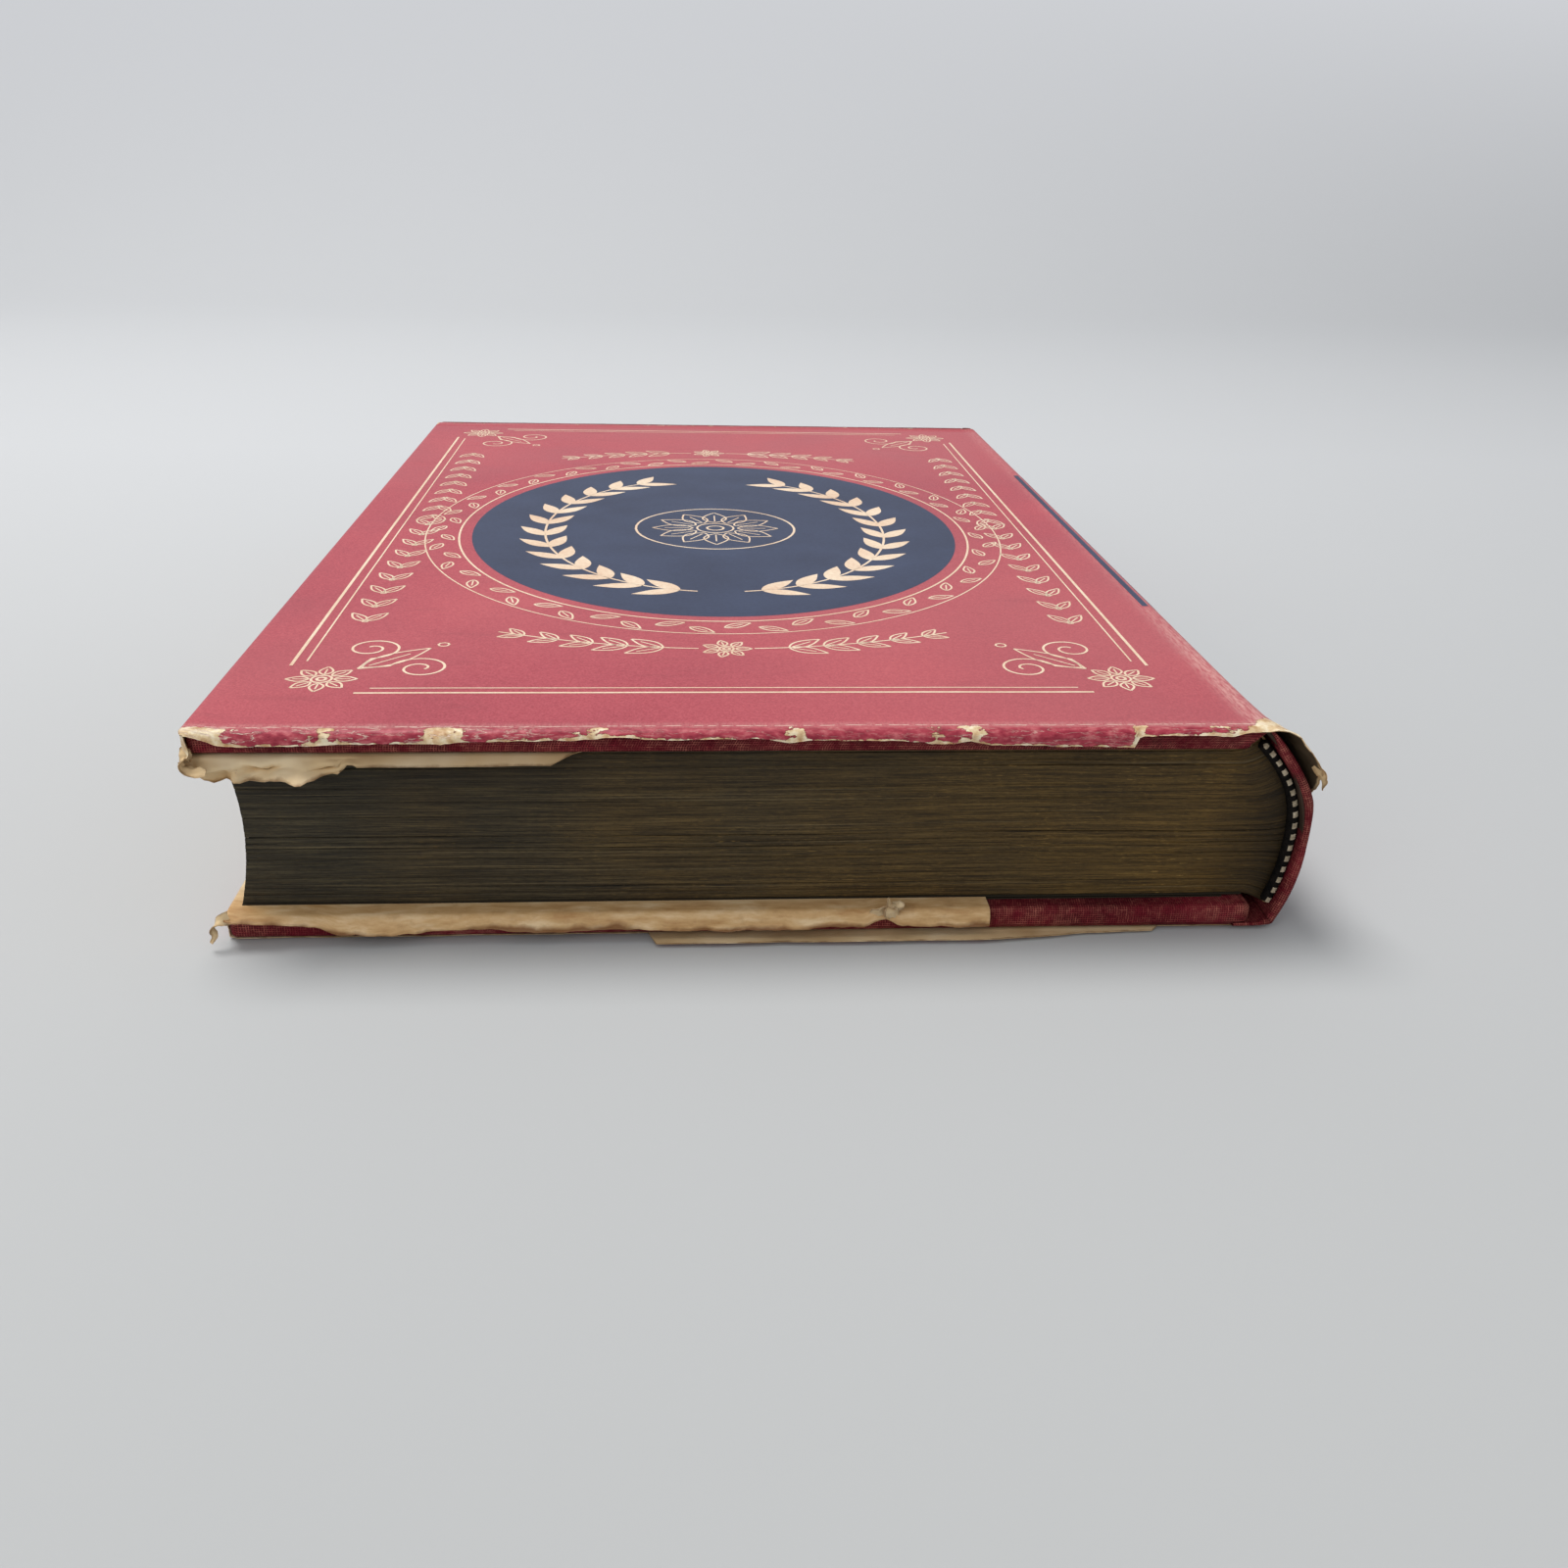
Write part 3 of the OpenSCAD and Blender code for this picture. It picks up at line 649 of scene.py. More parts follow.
def covered_board(name, u0, u1, outer_z, inner_z, seed, node, body, spine_end):
    up_out = 1 if outer_z > inner_z else -1
    bend = np.radians(np.linspace(0, 90, 5))
    profile = [(18, outer_z, 0)]
    profile += [
        (edge_r - edge_r * math.sin(a), outer_z - up_out * edge_r * (1 - math.cos(a)), 1) for a in bend]
    profile += [
        (edge_r - edge_r * math.cos(a), inner_z + up_out * edge_r * (1 - math.sin(a)), 1) for a in bend]
    profile += [(14.2, inner_z, 1), (14.6, inner_z + up_out * 0.45, 1)]
    base, outward = ring_points(u0 + edge_r, u1 - edge_r, 0.05 + edge_r, tail - 0.05 - edge_r, 0.3)
    points, warp, weft, rub = [], [], [], []
    walked, last = 0, None
    for inset, z, past in profile:
        spine_inset = min(inset, 1.8) - spine_end(z)
        flat, _ = ring_points(
            u0 + inset, u1 - spine_inset, 0.05 + inset, tail - 0.05 - inset, max(1.1 - inset, 0.25))
        if last is not None and past:
            walked += math.hypot(inset - last[0], z - last[1]) if last[2] else 0
        last = (inset, z, past)
        wobble = 0.05 * rough(flat[:, 0] + flat[:, 1], z, 7, seed)
        level = np.full(len(flat), z) + wobble * (0 < inset < 2)
        points.append(np.column_stack([flat[:, 0], flat[:, 1], level]))
        grown = base + outward * walked if past else flat
        warp.append(grown[:, 0])
        weft.append(grown[:, 1])
        near = math.exp(-((inset - 0.2) / 0.5) ** 2) if past else 0
        corner = np.minimum(np.minimum(flat[:, 0] - u0, u1 - flat[:, 0]), 9)
        corner = np.maximum(1 - (corner + np.minimum(flat[:, 1], tail - flat[:, 1])) / 9, 0)
        rub.append(near * (0.55 + 0.5 * rough(flat[:, 0] + flat[:, 1], z, 9, seed + 4)) + corner * 0.6)
    m = len(base)
    faces = []
    for k in range(len(profile) - 1):
        for i in range(m):
            j = (i + 1) % m
            faces.append([k * m + i, (k + 1) * m + i, (k + 1) * m + j, k * m + j])
    faces.append(list(range(m)))
    if up_out < 0:
        faces = [f[::-1] for f in faces]
    made = add_mesh(name, np.concatenate(points), faces, None,
                    {"warp": np.array(warp), "weft": np.array(weft), "rub": np.array(rub)}, [cloth])
    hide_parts(node)
    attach(made, body)
    return made


front_cloth = covered_board("front_cover_cloth", 0.52, 153.7, top - 0.34, 30.2, 11,
                            "front_cloth", "front_cover",
                            lambda z: 2.2 * float(ease(z, 30.9, 32.6) * (1 - ease(z, 33.1, 33.3))))
covered_board("rear_cover_cloth", 2.52, 155.7, 0.34, 4.0, 12, "rear_cloth", "rear_cover",
              lambda z: 2.2 * float(ease(z, 0.8, 1.2)))
print("boards covered:", len(front_cloth.data.polygons), "faces each")

# %% [markdown]
# The spine is drawn in section: an arc about one centre, then a straight run over the hinge on to
# the board. Both halves start at the middle of the spine and go their own way round. The jacket and
# the cloth follow the same section, one inside the other, so one helper gives the path at any depth.

# %% The section round the book
jacket_r = 27.74
fold_r = 0.5
spine_u = 165.26
under_jacket = 0.34
flap_u, rear_flap_u = 114, 116.6


def short_of(x, limit, give):
    """Eases x to a stop at the limit, over the last few tenths of a millimetre."""
    start = limit - give
    return np.where(x > start, limit - give * np.exp((start - np.maximum(x, start)) / give), x)



def path_length(path):
    return np.concatenate([[0], np.cumsum(np.linalg.norm(np.diff(path, axis=0), axis=1))])


def walk(corners, step=0.08):
    corners = np.asarray(corners, float)
    length = path_length(corners)
    s = np.arange(0, length[-1], step)
    return np.column_stack([np.interp(s, length, corners[:, k]) for k in (0, 1)])


def soften(path, span_, upto):
    kernel = np.hanning(span_)
    kernel /= kernel.sum()
    padded = np.concatenate([np.repeat(path[:1], span_, 0), path, np.repeat(path[-1:], span_, 0)])
    smooth = np.column_stack([np.convolve(padded[:, k], kernel, "same")[span_:-span_] for k in (0, 1)])
    keep = ease(np.arange(len(path)), upto, upto + 20)[:, None]
    start = ease(np.arange(len(path)), 0, span_)[:, None]
    smooth = path * (1 - start) + smooth * start
    return smooth * (1 - keep) + path * keep


def arc(cu, cz, r, start, end, count=8):
    a = np.radians(np.linspace(start, end, count))
    return [(cu + r * math.cos(x), cz + r * math.sin(x)) for x in a]


def spine_half(depth, front):
    r = jacket_r - depth
    level = top - depth if front else depth
    reach = math.degrees(math.asin((level - spine_mid[1]) / r))
    return arc(*spine_mid, r, 0, reach, 40), level


def front_section(depth, flap_end):
    path, level = spine_half(depth, True)
    path += [(fold_r, level)] + arc(fold_r, top - fold_r, fold_r - depth, 90, 180)
    path += arc(fold_r, top - 4.4 + fold_r, fold_r - depth, 180, 270) + [(flap_end, top - 4.4 + depth)]
    path = walk(path)
    return soften(path, 21, int(np.argmax(path[:, 0] < 150)))


def rear_section(depth, flap_end):
    path, level = spine_half(depth, False)
    path += [(2 + fold_r, level)] + arc(2 + fold_r, fold_r, fold_r - depth, 270, 180)
    path += arc(2 + fold_r, 4.4 - fold_r, fold_r - depth, 180, 90) + [(flap_end, 4.4 - depth)]
    path = walk(path)
    return soften(path, 21, int(np.argmax(path[:, 0] < 152)))


def along_path(path, s, flip):
    length = path_length(path)
    at = np.column_stack([np.interp(s, length, path[:, k]) for k in (0, 1)])
    ahead = np.column_stack([np.interp(s + 0.1, length, path[:, k]) for k in (0, 1)])
    behind = np.column_stack([np.interp(s - 0.1, length, path[:, k]) for k in (0, 1)])
    t = ahead - behind
    t /= np.linalg.norm(t, axis=1, keepdims=True)
    n = np.column_stack([t[:, 1], -t[:, 0]])
    return at, -n if flip else n, length[-1]


print("half round the front:", round(path_length(front_section(0, flap_u))[-1], 1), "mm")

# %% [markdown]
# The spine cloth lies over a strip of card and is turned in at the head and the tail, so its end
# shows as a thick, rounded lip, crescent-shaped from above. Over the hinge it thins to a single
# cloth.

# %% Cloth on the spine
def spine_cloth_half(name, front, node=None):
    path = (front_section if front else rear_section)(under_jacket, flap_u)
    hinge = 154.1 if front else 156.1
    length = path_length(path)
    s_end = length[int(np.argmax(path[:, 0] < hinge - 0.7))]
    s_flat = length[int(np.argmax(path[:, 0] < hinge + 2.2))]
    s = np.linspace(0, s_end, 34)
    at, n, _ = along_path(path, s, not front)
    thick = 1.55 - 1.05 * ease(s, s_flat - 5, s_flat)
    end_bend = np.radians(np.linspace(0, 180, 9))
    points, warp, weft, rub = [], [], [], []
    for k in range(len(s)):
        half = thick[k] / 2
        dip = 0.12 * rough(s[k], 0, 4, 31 if front else 32)
        head, end = 0.05 + half + dip, tail - 0.05 - half
        v = np.concatenate([head - half * np.sin(end_bend[::-1]), [14, 40],
                            np.linspace(70, 170, 5), [200, tail - 14],
                            end + half * np.sin(end_bend)])
        depth = np.concatenate([half - half * np.cos(end_bend[::-1]), [0, 0], np.zeros(5), [0, 0],
                                half - half * np.cos(end_bend)])
        walked = np.concatenate([head - half * end_bend[::-1], v[9:18], end + half * end_bend])
        worn = np.concatenate([np.sin(end_bend), np.zeros(9), np.sin(end_bend)])
        swell = 0.95 * fuller(at[k, 1], v) * (at[k, 0] > 150)
        bulge = short_of(at[k, 0] - n[k, 0] * depth + swell, spine_u - 0.3, 0.36)
        points.append(np.column_stack([bulge, v, at[k, 1] - n[k, 1] * depth]))
        warp.append(np.full(len(v), s[k]))
        weft.append(walked)
        rub.append(worn * (0.75 + 0.35 * rough(s[k], 0, 3, 33)) + 0.1)
    n_, m = len(points), len(points[0])
    faces = [[i * m + j, (i + 1) * m + j, (i + 1) * m + (j + 1) % m, i * m + (j + 1) % m]
             for i in range(n_ - 1) for j in range(m)]
    faces.append([(n_ - 1) * m + j for j in range(m)])
    if front:
        faces = [f[::-1] for f in faces]
    made = add_mesh(name, np.concatenate(points), faces, None,
                    {"warp": np.array(warp), "weft": np.array(weft), "rub": np.array(rub)}, [cloth])
    if node:
        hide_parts(node)
    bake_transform(made)
    return made


spine_cloth_front = spine_cloth_half("spine_cloth_front", True, "spine_cloth")
spine_cloth_half("spine_cloth_rear", False)
print("spine cloth:", len(spine_cloth_front.data.vertices), "points a half")

# %% [markdown]
# The jacket is one sheet on the real book. Here each half is a net of points: columns run round the
# section, rows run from the torn head edge to the tail. Every column says how far the paper reaches
# past the edge of the boards, and how sharply it bends there: down over the front board, hardly at
# the fore-edge, and down again off the flap, which is what makes the crumpled corner.

# %% Half a jacket as a net
paper_t = 0.13
spine_give = 0.36
head_limit, head_give = 3.35, 0.55


def overhang_rows(reach):
    near = np.maximum(0.4, -reach + 1.5)
    far = np.maximum(7, -reach + 7)
    rows = [-reach + (near + reach) * q for q in np.linspace(0, 1, 15)]
    rows += [near + (far - near) * q for q in np.linspace(0, 1, 8)[1:]]
    rows += [far + (jacket_tail - far) * q for q in np.linspace(0, 1, 42)[1:]]
    return np.array(rows).T


def hang(at, n, rows, crease, radius, bend):
    """Points of the sheet; where a row is past the crease it turns by up to bend radians towards the back."""
    past = np.maximum(crease[:, None] - rows, 0)
    angle = np.abs(bend)[:, None] + 1e-4
    radius = radius[:, None]
    turned = np.minimum(past / radius, angle)
    rest = past - turned * radius
    out = radius * np.sin(turned) + rest * np.cos(turned)
    down = (radius * (1 - np.cos(turned)) + rest * np.sin(turned)) * np.sign(bend)[:, None]
    net = np.zeros(rows.shape + (3,))
    net[..., 0] = at[:, None, 0] - n[:, None, 0] * down
    net[..., 1] = np.where(past > 0, crease[:, None] - out, rows)
    net[..., 2] = at[:, None, 1] - n[:, None, 1] * down
    return net


class Half:
    """Half a jacket: s runs round the section and rows run from the head, both in millimetres."""

    def __init__(self, path, fold_u, columns, front):
        length = path_length(path)
        self.fold = length[int(np.argmax(path[:, 0] < fold_u))]
        self.s = columns(self.fold, length[-1])
        self.at, self.n, _ = along_path(path, self.s, not front)
        self.u, self.z = self.at[:, 0], self.at[:, 1]
        self.flap = self.s > self.fold + 4.3
        self.turn = ease(self.s, self.fold - 0.5, self.fold + 5.2)

    def tear(self, reach):
        self.rows = overhang_rows(reach)
        self.edge = self.rows + reach[:, None]
        self.mark = self.s[:, None] + 0 * self.rows

    def bend(self, crease, radius, bend):
        self.past = np.maximum(crease[:, None] - self.rows, 0)
        self.net = hang(self.at, self.n, self.rows, crease, radius, bend)

    def hold(self):
        self.net[..., 0] = short_of(self.net[..., 0], spine_u, spine_give)
        self.net[..., 1] = -short_of(-self.net[..., 1], head_limit, head_give)

    def worn(self, all_over, at_tail):
        folds = 0.2 * bump_at(self.s, self.fold + 0.3, 0.7) + 0.2 * bump_at(self.s, self.fold + 4, 0.7)
        tail_edge = np.exp(-np.maximum(jacket_tail - self.rows, 0) / 0.7)
        return all_over + 0.12 * np.exp(-self.edge / 2.5) + folds[:, None] + at_tail * tail_edge

    def sheet(self, name, flip, **numbers):
        bare = np.where(self.s > self.fold + 4.4, 1, 0)[:, None] + 0 * self.rows
        numbers.update(edge=self.edge, across=self.mark, unprinted=bare)
        return sheet_of(name, self.net, paper_t, numbers, [jacket_print, jacket_back], flip)


def panel_wave(u, v):
    return 0.03 + 0.05 * (rough(u, v, 48, 51) + 1) + 0.012 * rough(u, v, 11, 52)


print("panel wave at its middle:", round(float(panel_wave(70, 110)), 3))

# %% [markdown]
# Front half: spine, front panel, fore-edge fold and flap. How far the paper reaches past the boards
# changes along it. The panel's lip hangs down 2 or 3 mm. The flap ends in a tongue at the corner,
# narrows to a strip, and runs out at the clipped corner. The head of the spine is torn away.

# %% How far the front paper reaches
tongue_end, strip_end, clip_from = 22.0, 51, 54.4
clip_slope = 41 / 60


def front_columns(fold, end):
    return np.concatenate([
        np.linspace(0, 30, 58), np.arange(30.6, fold - 5.6, 0.62), np.linspace(fold - 5, fold + 7, 34),
        np.arange(fold + 7.5, fold + 62, 0.75), np.arange(fold + 64, end - 1, 3.5), [end - 0.1]])


def lip_reach(u):
    lip = np.interp(u, [0, 20, 40, 52, 80, 95, 110, 135], [2.9, 2.7, 2.2, 1.95, 2.0, 2.3, 3.0, 3.45])
    lip = lip + 0.2 * ragged(u, 6, 61) + 0.12 * ragged(u, 1.3, 62)
    lip += 0.35 * bump_at(u, 85, 1.6) - 1.6 * ease(u, 135.2, 136) - 0.3 * bump_at(u, 60, 5)
    return lip - (0.5 * bump_at(u, 111, 1.5) + 0.3 * bump_at(u, 20, 2.2))


def flap_reach(u, past_fold):
    tongue = (3.55 + 0.4 * ragged(u, 4, 63)) * (0.55 + 0.45 * ease(past_fold, 4.3, 8.5))
    strip = 1.55 + 0.1 * ragged(u, 6, 64) - 0.15 * ease(u, 30, 50)
    reach = strip + (tongue - strip) * (1 - ease(u, tongue_end - 0.8, tongue_end))
    reach = np.where(u > strip_end, 1.4 - (u - strip_end) * 0.7, reach)
    return np.where(u > clip_from, -1 - (u - clip_from) * clip_slope, reach)


def front_reach(h):
    lip, shoulder = lip_reach(h.u), (h.s < 50) & (h.u > 150)
    burst_corner = 1.5 * (1 - ease(h.u, 0, 7)) * (1 - h.turn)
    torn = 1.5 - 24 * (1 - ease(h.z, 10, 29)) ** 1.5 + 1.1 * ragged(h.s, 2.4, 65)
    torn += 0.75 * ragged(h.s, 0.95, 98)
    reach = np.where(h.flap, flap_reach(h.u, h.s - h.fold), lip - burst_corner - 0.4 * h.turn)
    reach = np.where(shoulder, np.maximum(lip - (h.u - 150) * 0.25, 1.2), reach)
    return np.where(h.spine, torn, reach)


front_half = Half(front_section(0, flap_u), 0.55, front_columns, True)
front_half.spine = (front_half.s < 50) & (front_half.z < top - 0.05)
front_half.tear(front_reach(front_half))
print("the lip reaches", round(float(lip_reach(20)), 2), "mm past the board at the corner")

# %% [markdown]
# The lip is bent down over the board's edge and has small wads where it was crushed. At the corner
# the paper burst, so the tongue hangs free and is crumpled. Crumpled paper has flat parts between
# sharp ridges, and roughness folded at its middle value gives those. The torn spine stands off.

# %% Bend and crumple the front paper
def front_folds(h):
    s, u, z, rows = h.s, h.u, h.z, h.rows
    over = ease(s, h.fold + 2.6, h.fold + 6.5)
    bend = np.radians(88 + 10 * ragged(u, 9, 66)) * (1 - 2 * over)
    bend = np.where(h.flap & (u > tongue_end), math.radians(-28), bend)
    h.bend(np.where(h.flap, 1.0, 0.1 + 0.28 * ragged(u, 11, 74)), np.where(h.flap, 1.25, 1.5),
           np.where(h.spine, 0.0, bend))
    net, past, mark = h.net, h.past, h.mark
    h.crumple, h.crinkle = folded(mark, rows * 1.8, 4.6, 67), folded(mark, rows * 1.3, 2.1, 68)
    h.hanging = (h.flap & (u < 24))[:, None] * ease(past, 0.3, 2.4)
    net[..., 1] -= h.hanging * (1.2 * h.crumple + 0.6 * h.crinkle - 0.5)
    net[..., 2] += h.hanging * (0.35 * rough(mark, rows, 2.4, 69) + 0.15 * folded(mark, rows, 1.3, 70))
    flare = (ease(u, 6.5, 9.5) * h.flap * (u < tongue_end - 0.2))[:, None] * np.maximum(past - 2.5, 0)
    net[..., 1] -= 1.15 * flare - h.hanging * 0.5 * ease(u, 6, 9)[:, None]
    net[..., 2] += 0.45 * flare
    wad = (bump_at(u, 36.3, 1.5) + 0.35 * bump_at(u, 20, 2) + 0.35 * bump_at(u, 111.3, 1.2))[:, None]
    wad = wad * (0.35 + 0.5 * folded(mark, rows * 1.5, 1.4, 76))
    net[..., 1] -= (~h.flap)[:, None] * ease(past, 0.1, 1.2) * (0.12 * rough(mark, rows * 1.6, 2.6, 75) + wad)
    lifted = (ease(z, 17, 25) * h.spine * ease(u, 155.3, 157.8))[:, None]
    lifted = lifted * np.exp(-np.maximum(rows + 1, 0) / 6)
    lifted = lifted * (1 + 0.4 * rough(mark, rows, 3.4, 95) + 0.12 * folded(mark, rows, 2.2, 96))
    net[..., 0] += (2.1 - 0.9 * (1 - ease(z, 25, 29)))[:, None] * lifted
    net[..., 0] += 0.95 * fuller(net[..., 2], net[..., 1]) * (u[:, None] > 158)
    net[..., 2] = np.minimum(net[..., 2] + 0.35 * lifted, top)
    h.hold()


def settle(h):
    """The panel's slight waves, clear of the board, and the slack of the fore-edge fold."""
    net = h.net
    panel = ((~h.flap) & (~h.spine) & (h.u > 1) & (h.u < 154))[:, None]
    clear = 0.02 * ease(h.z, 14, 20)[:, None]
    net[..., 2] -= np.where(panel, panel_wave(net[..., 0], net[..., 1]) * ease(net[..., 0], 1, 6), clear)
    side = ((~h.flap) & (h.u < 1) & (h.z < top - 0.5))[:, None]
    net[..., 0] += np.where(side, 0.12 * (rough(h.rows, h.z[:, None], 17, 71) + 1), 0)


front_folds(front_half)
settle(front_half)
print("the tongue hangs down to z", round(float(front_half.net[front_half.flap, 0, 2].min()), 1))

# %% [markdown]
# Last come the numbers that the material reads: wear, where the colour came off, and on the hanging
# tongue painted shade in the valleys of its crumples and along its upper band; rub, where it only
# paled, and on the tongue a painted highlight on the crumple ridges; crease and line, for the cracks
# in the lip; and a painted shade number that darkens the inside of the torn spine nearly to black.
# The bare patches are listed by their middle, their half width and how hard they are worn.

# %% Wear, painted shade and painted highlight on the front half
bare_patches = ((2.8, 3.8, 0.5), (19.5, 1.9, 0.36), (36, 2.8, 0.46), (57, 4, 0.22), (86, 1.2, 0.3),
                (106, 1.6, 0.24), (111.5, 1.5, 0.5), (135.6, 1.0, 0.42), (149, 4, 0.2))


def front_wear(h, on_lip):
    u, rows = h.u[:, None], h.rows
    wear = h.worn(0.13, 0.3)
    wear += on_lip * 0.12 * np.exp(-((rows + 0.1) / 0.35) ** 2) * (0.6 + 0.6 * ragged(u, 7, 72))
    wear += on_lip * 0.07 * (1 - ease(rows, -0.2, 0.3)) * (1 + ragged(u, 4, 73))
    strayed = u + 1.3 * rough(u, rows, 1.1, 78) + 0.8 * rough(u, rows, 0.5, 79)
    for middle, width, size in bare_patches:
        wear += on_lip * size * bump_at(strayed, middle, width) * np.exp(-np.maximum(rows - 0.2, 0) / 0.6)
    # on the hanging tongue the wear number is painted shade: darker in the crumple valleys and in the band below
    # the crease
    valley_shade = 0.5 - 0.5 * h.crumple + 0.5 * (1 - h.crinkle)
    shaded = ease(h.past, 0.4, 1.2) * (1 - ease(h.past, 2.1, 2.9)) * ease(u, 6, 9)
    wear = np.where(h.flap[:, None], h.hanging * (0.75 * valley_shade + 0.5 * shaded), wear)
    burst = bump_at(h.s, 23.3, 3.0)[:, None] * np.exp(-(np.maximum(rows - 1, 0) / 2.6) ** 2)
    return wear + 0.6 * burst + 0.5 * h.spine[:, None] * np.exp(-h.edge / 2.0)


def front_rub_and_highlight(h, on_lip):
    shoulder = (0.6 * bump_at(h.s, 25.2, 1.6) + 0.45 * bump_at(h.s, 22, 2.5))[:, None]
    rub = shoulder * (0.3 + 0.7 * (1 - ease(h.rows, 20, 75)))
    rub = rub + 0.35 * on_lip * np.exp(-((h.rows - 0.9) / 0.7) ** 2)
    # on the hanging tongue, rub carries a painted highlight on the crumple ridges near the corner
    ridge = np.clip(h.crumple, 0, 1) * (1 - ease(h.u, 8, 16))[:, None]
    return np.minimum(np.where(h.flap[:, None], h.hanging * ridge, rub), 0.9)


def front_jacket(h):
    u, rows, on_lip = h.u[:, None], h.rows, ((~h.flap) & (~h.spine))[:, None]
    cracked = np.interp(u, [0, 44, 52, 100, 112, 136, 150], [1, 1, 0.25, 0.25, 0.45, 0.35, 0.3])
    crack = on_lip * (1 - ease(rows, 0.8, 1.6)) * (cracked * (0.75 + 0.5 * ragged(u, 5, 77)))
    return h.sheet("jacket_front_half", True, wear=front_wear(h, on_lip), rub=front_rub_and_highlight(h, on_lip),
                   fade=np.where(on_lip, ease(rows, -0.5, 0.25), 1), crease=np.clip(crack, 0, 1),
                   # painted shade over the inside of the torn spine, except right at its torn edge
                   grime=h.spine[:, None] * ease(h.edge, 0.3, 0.8),
                   line=np.where(on_lip, rows - (0.75 + 0.3 * ragged(u, 12, 80)), 9))


jacket_front_half = front_jacket(front_half)
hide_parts("jacket_front", "jacket_spine")
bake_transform(jacket_front_half)
print("front half of the jacket:", len(jacket_front_half.data.vertices), "points")

# %% [markdown]
# Rear half: it lies between the table and the rear board. Only a strip of its head edge is left in
# the middle. Its flap hangs over the board's head edge and is torn in long shallow bites.

# %% Rear half of the jacket
def rear_columns(fold, end):
    return np.concatenate([
        np.linspace(0, 22, 20), np.arange(23, fold - 4, 1.3), np.linspace(fold - 3, fold + 8, 30),
        np.arange(fold + 8.6, end - 1, 0.85), [end - 0.1]])


def rear_reach(h):
    s, u, z = h.s, h.u, h.z
    strip = 3.3 * ease(u, 64.6, 65.4) * (1 - ease(u, 113.5, 139.5) * 0.85) * (1 - ease(u, 142, 143.5))
    strip += 0.35 * ragged(u, 5, 82) * (strip > 0.3) + 0.9 * (strip > 0.3)
    bites = np.interp(u, [2, 5, 11, 16, 19, 30, 41, 50, 61, 75, 97, 100.3, 103, 117],
                      [1.2, 1.5, 1.9, 2.4, 3.4, 3.2, 2.8, 3.4, 3.1, 3.6, 3.3, 1.9, 3.3, 3.5])
    bites += 0.22 * ragged(u, 5, 83) + 0.22 * ragged(u, 1.7, 84)
    torn = -21 + 2.2 * ragged(s, 5, 85) + 0.6 * ragged(s, 1.6, 86) + 5 * (1 - ease(z, 0, 6))
    reach = np.where(h.flap, bites, -0.9 + 0.25 * ragged(u, 6, 81) + strip)
    reach = np.where(h.spine, torn, reach)
    return np.where((~h.flap) & (h.turn > 0) & (h.turn < 1), -1.2 + 0.6 * ragged(z, 1.5, 87), reach)


def rear_folds(h):
    u, rows, mark = h.u, h.rows, h.mark
    even = np.ones(len(u))
    h.bend(0.1 * even, 1.25 * even, np.where(h.flap, np.radians(84 + 14 * ragged(u, 8, 88)), 0.001))
    net, past = h.net, h.past
    wrinkle = h.flap[:, None] * ease(past, 0.4, 4)
    net[..., 1] += wrinkle * (0.28 * rough(mark, rows, 4.6, 89) + 0.14 * rough(mark, rows * 2, 1.6, 90) - 0.1)
    net[..., 2] += wrinkle * 0.12 * rough(mark, rows, 2.2, 91)
    rolled = np.clip(0.35 + 1.1 * ragged(u, 10, 92), 0, 1)[:, None] * h.flap[:, None]
    rolled = rolled * np.exp(-(h.edge / 0.75) ** 2)
    net[..., 1] -= rolled * (1.1 + 0.5 * rough(mark, rows, 1.5, 93))
    net[..., 2] += rolled * 0.7
    net[..., 2] += np.where((~h.flap & ~h.spine)[:, None], np.maximum(past - 0.5, 0) * 0.12, 0)
    net[..., 2] += off_table * (1 - ease(h.z, 6, 12))[:, None]
    net[..., 2] = np.maximum(net[..., 2], off_table)
    h.hold()


off_table = 0.03
rear_half = Half(rear_section(0, rear_flap_u), 2.55, rear_columns, False)
rear_half.spine = (rear_half.s < 40) & (rear_half.z > 0.05)
rear_half.tear(rear_reach(rear_half))
rear_folds(rear_half)
rear_rub = (0.5 * bump_at(rear_half.s, 15, 2.0))[:, None]
rear_rub = rear_rub * (0.5 + 0.5 * rough(rear_half.s[:, None], rear_half.rows, 25, 94))
jacket_rear_half = rear_half.sheet(
    "jacket_rear_half", False, rub=rear_rub, crease=0 * rear_half.rows, line=9 + 0 * rear_half.rows,
    wear=rear_half.worn(0.14, 0.34) + 0.2 * ((~rear_half.flap)[:, None] & (rear_half.rows < 0)),
    fade=np.ones(rear_half.rows.shape))
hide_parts("jacket_rear")
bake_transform(jacket_rear_half)
print("rear half of the jacket:", len(jacket_rear_half.data.vertices), "points")

# %% [markdown]
# Where the paper burst, small bits still hang on: a twisted tail at the rear fold, a crumpled bit
# that stands on the rear flap, a curl at the front corner and a tag at the spine. Each is a short
# strip that follows a line through space, twists as it goes, and is creased by the steady roughness.

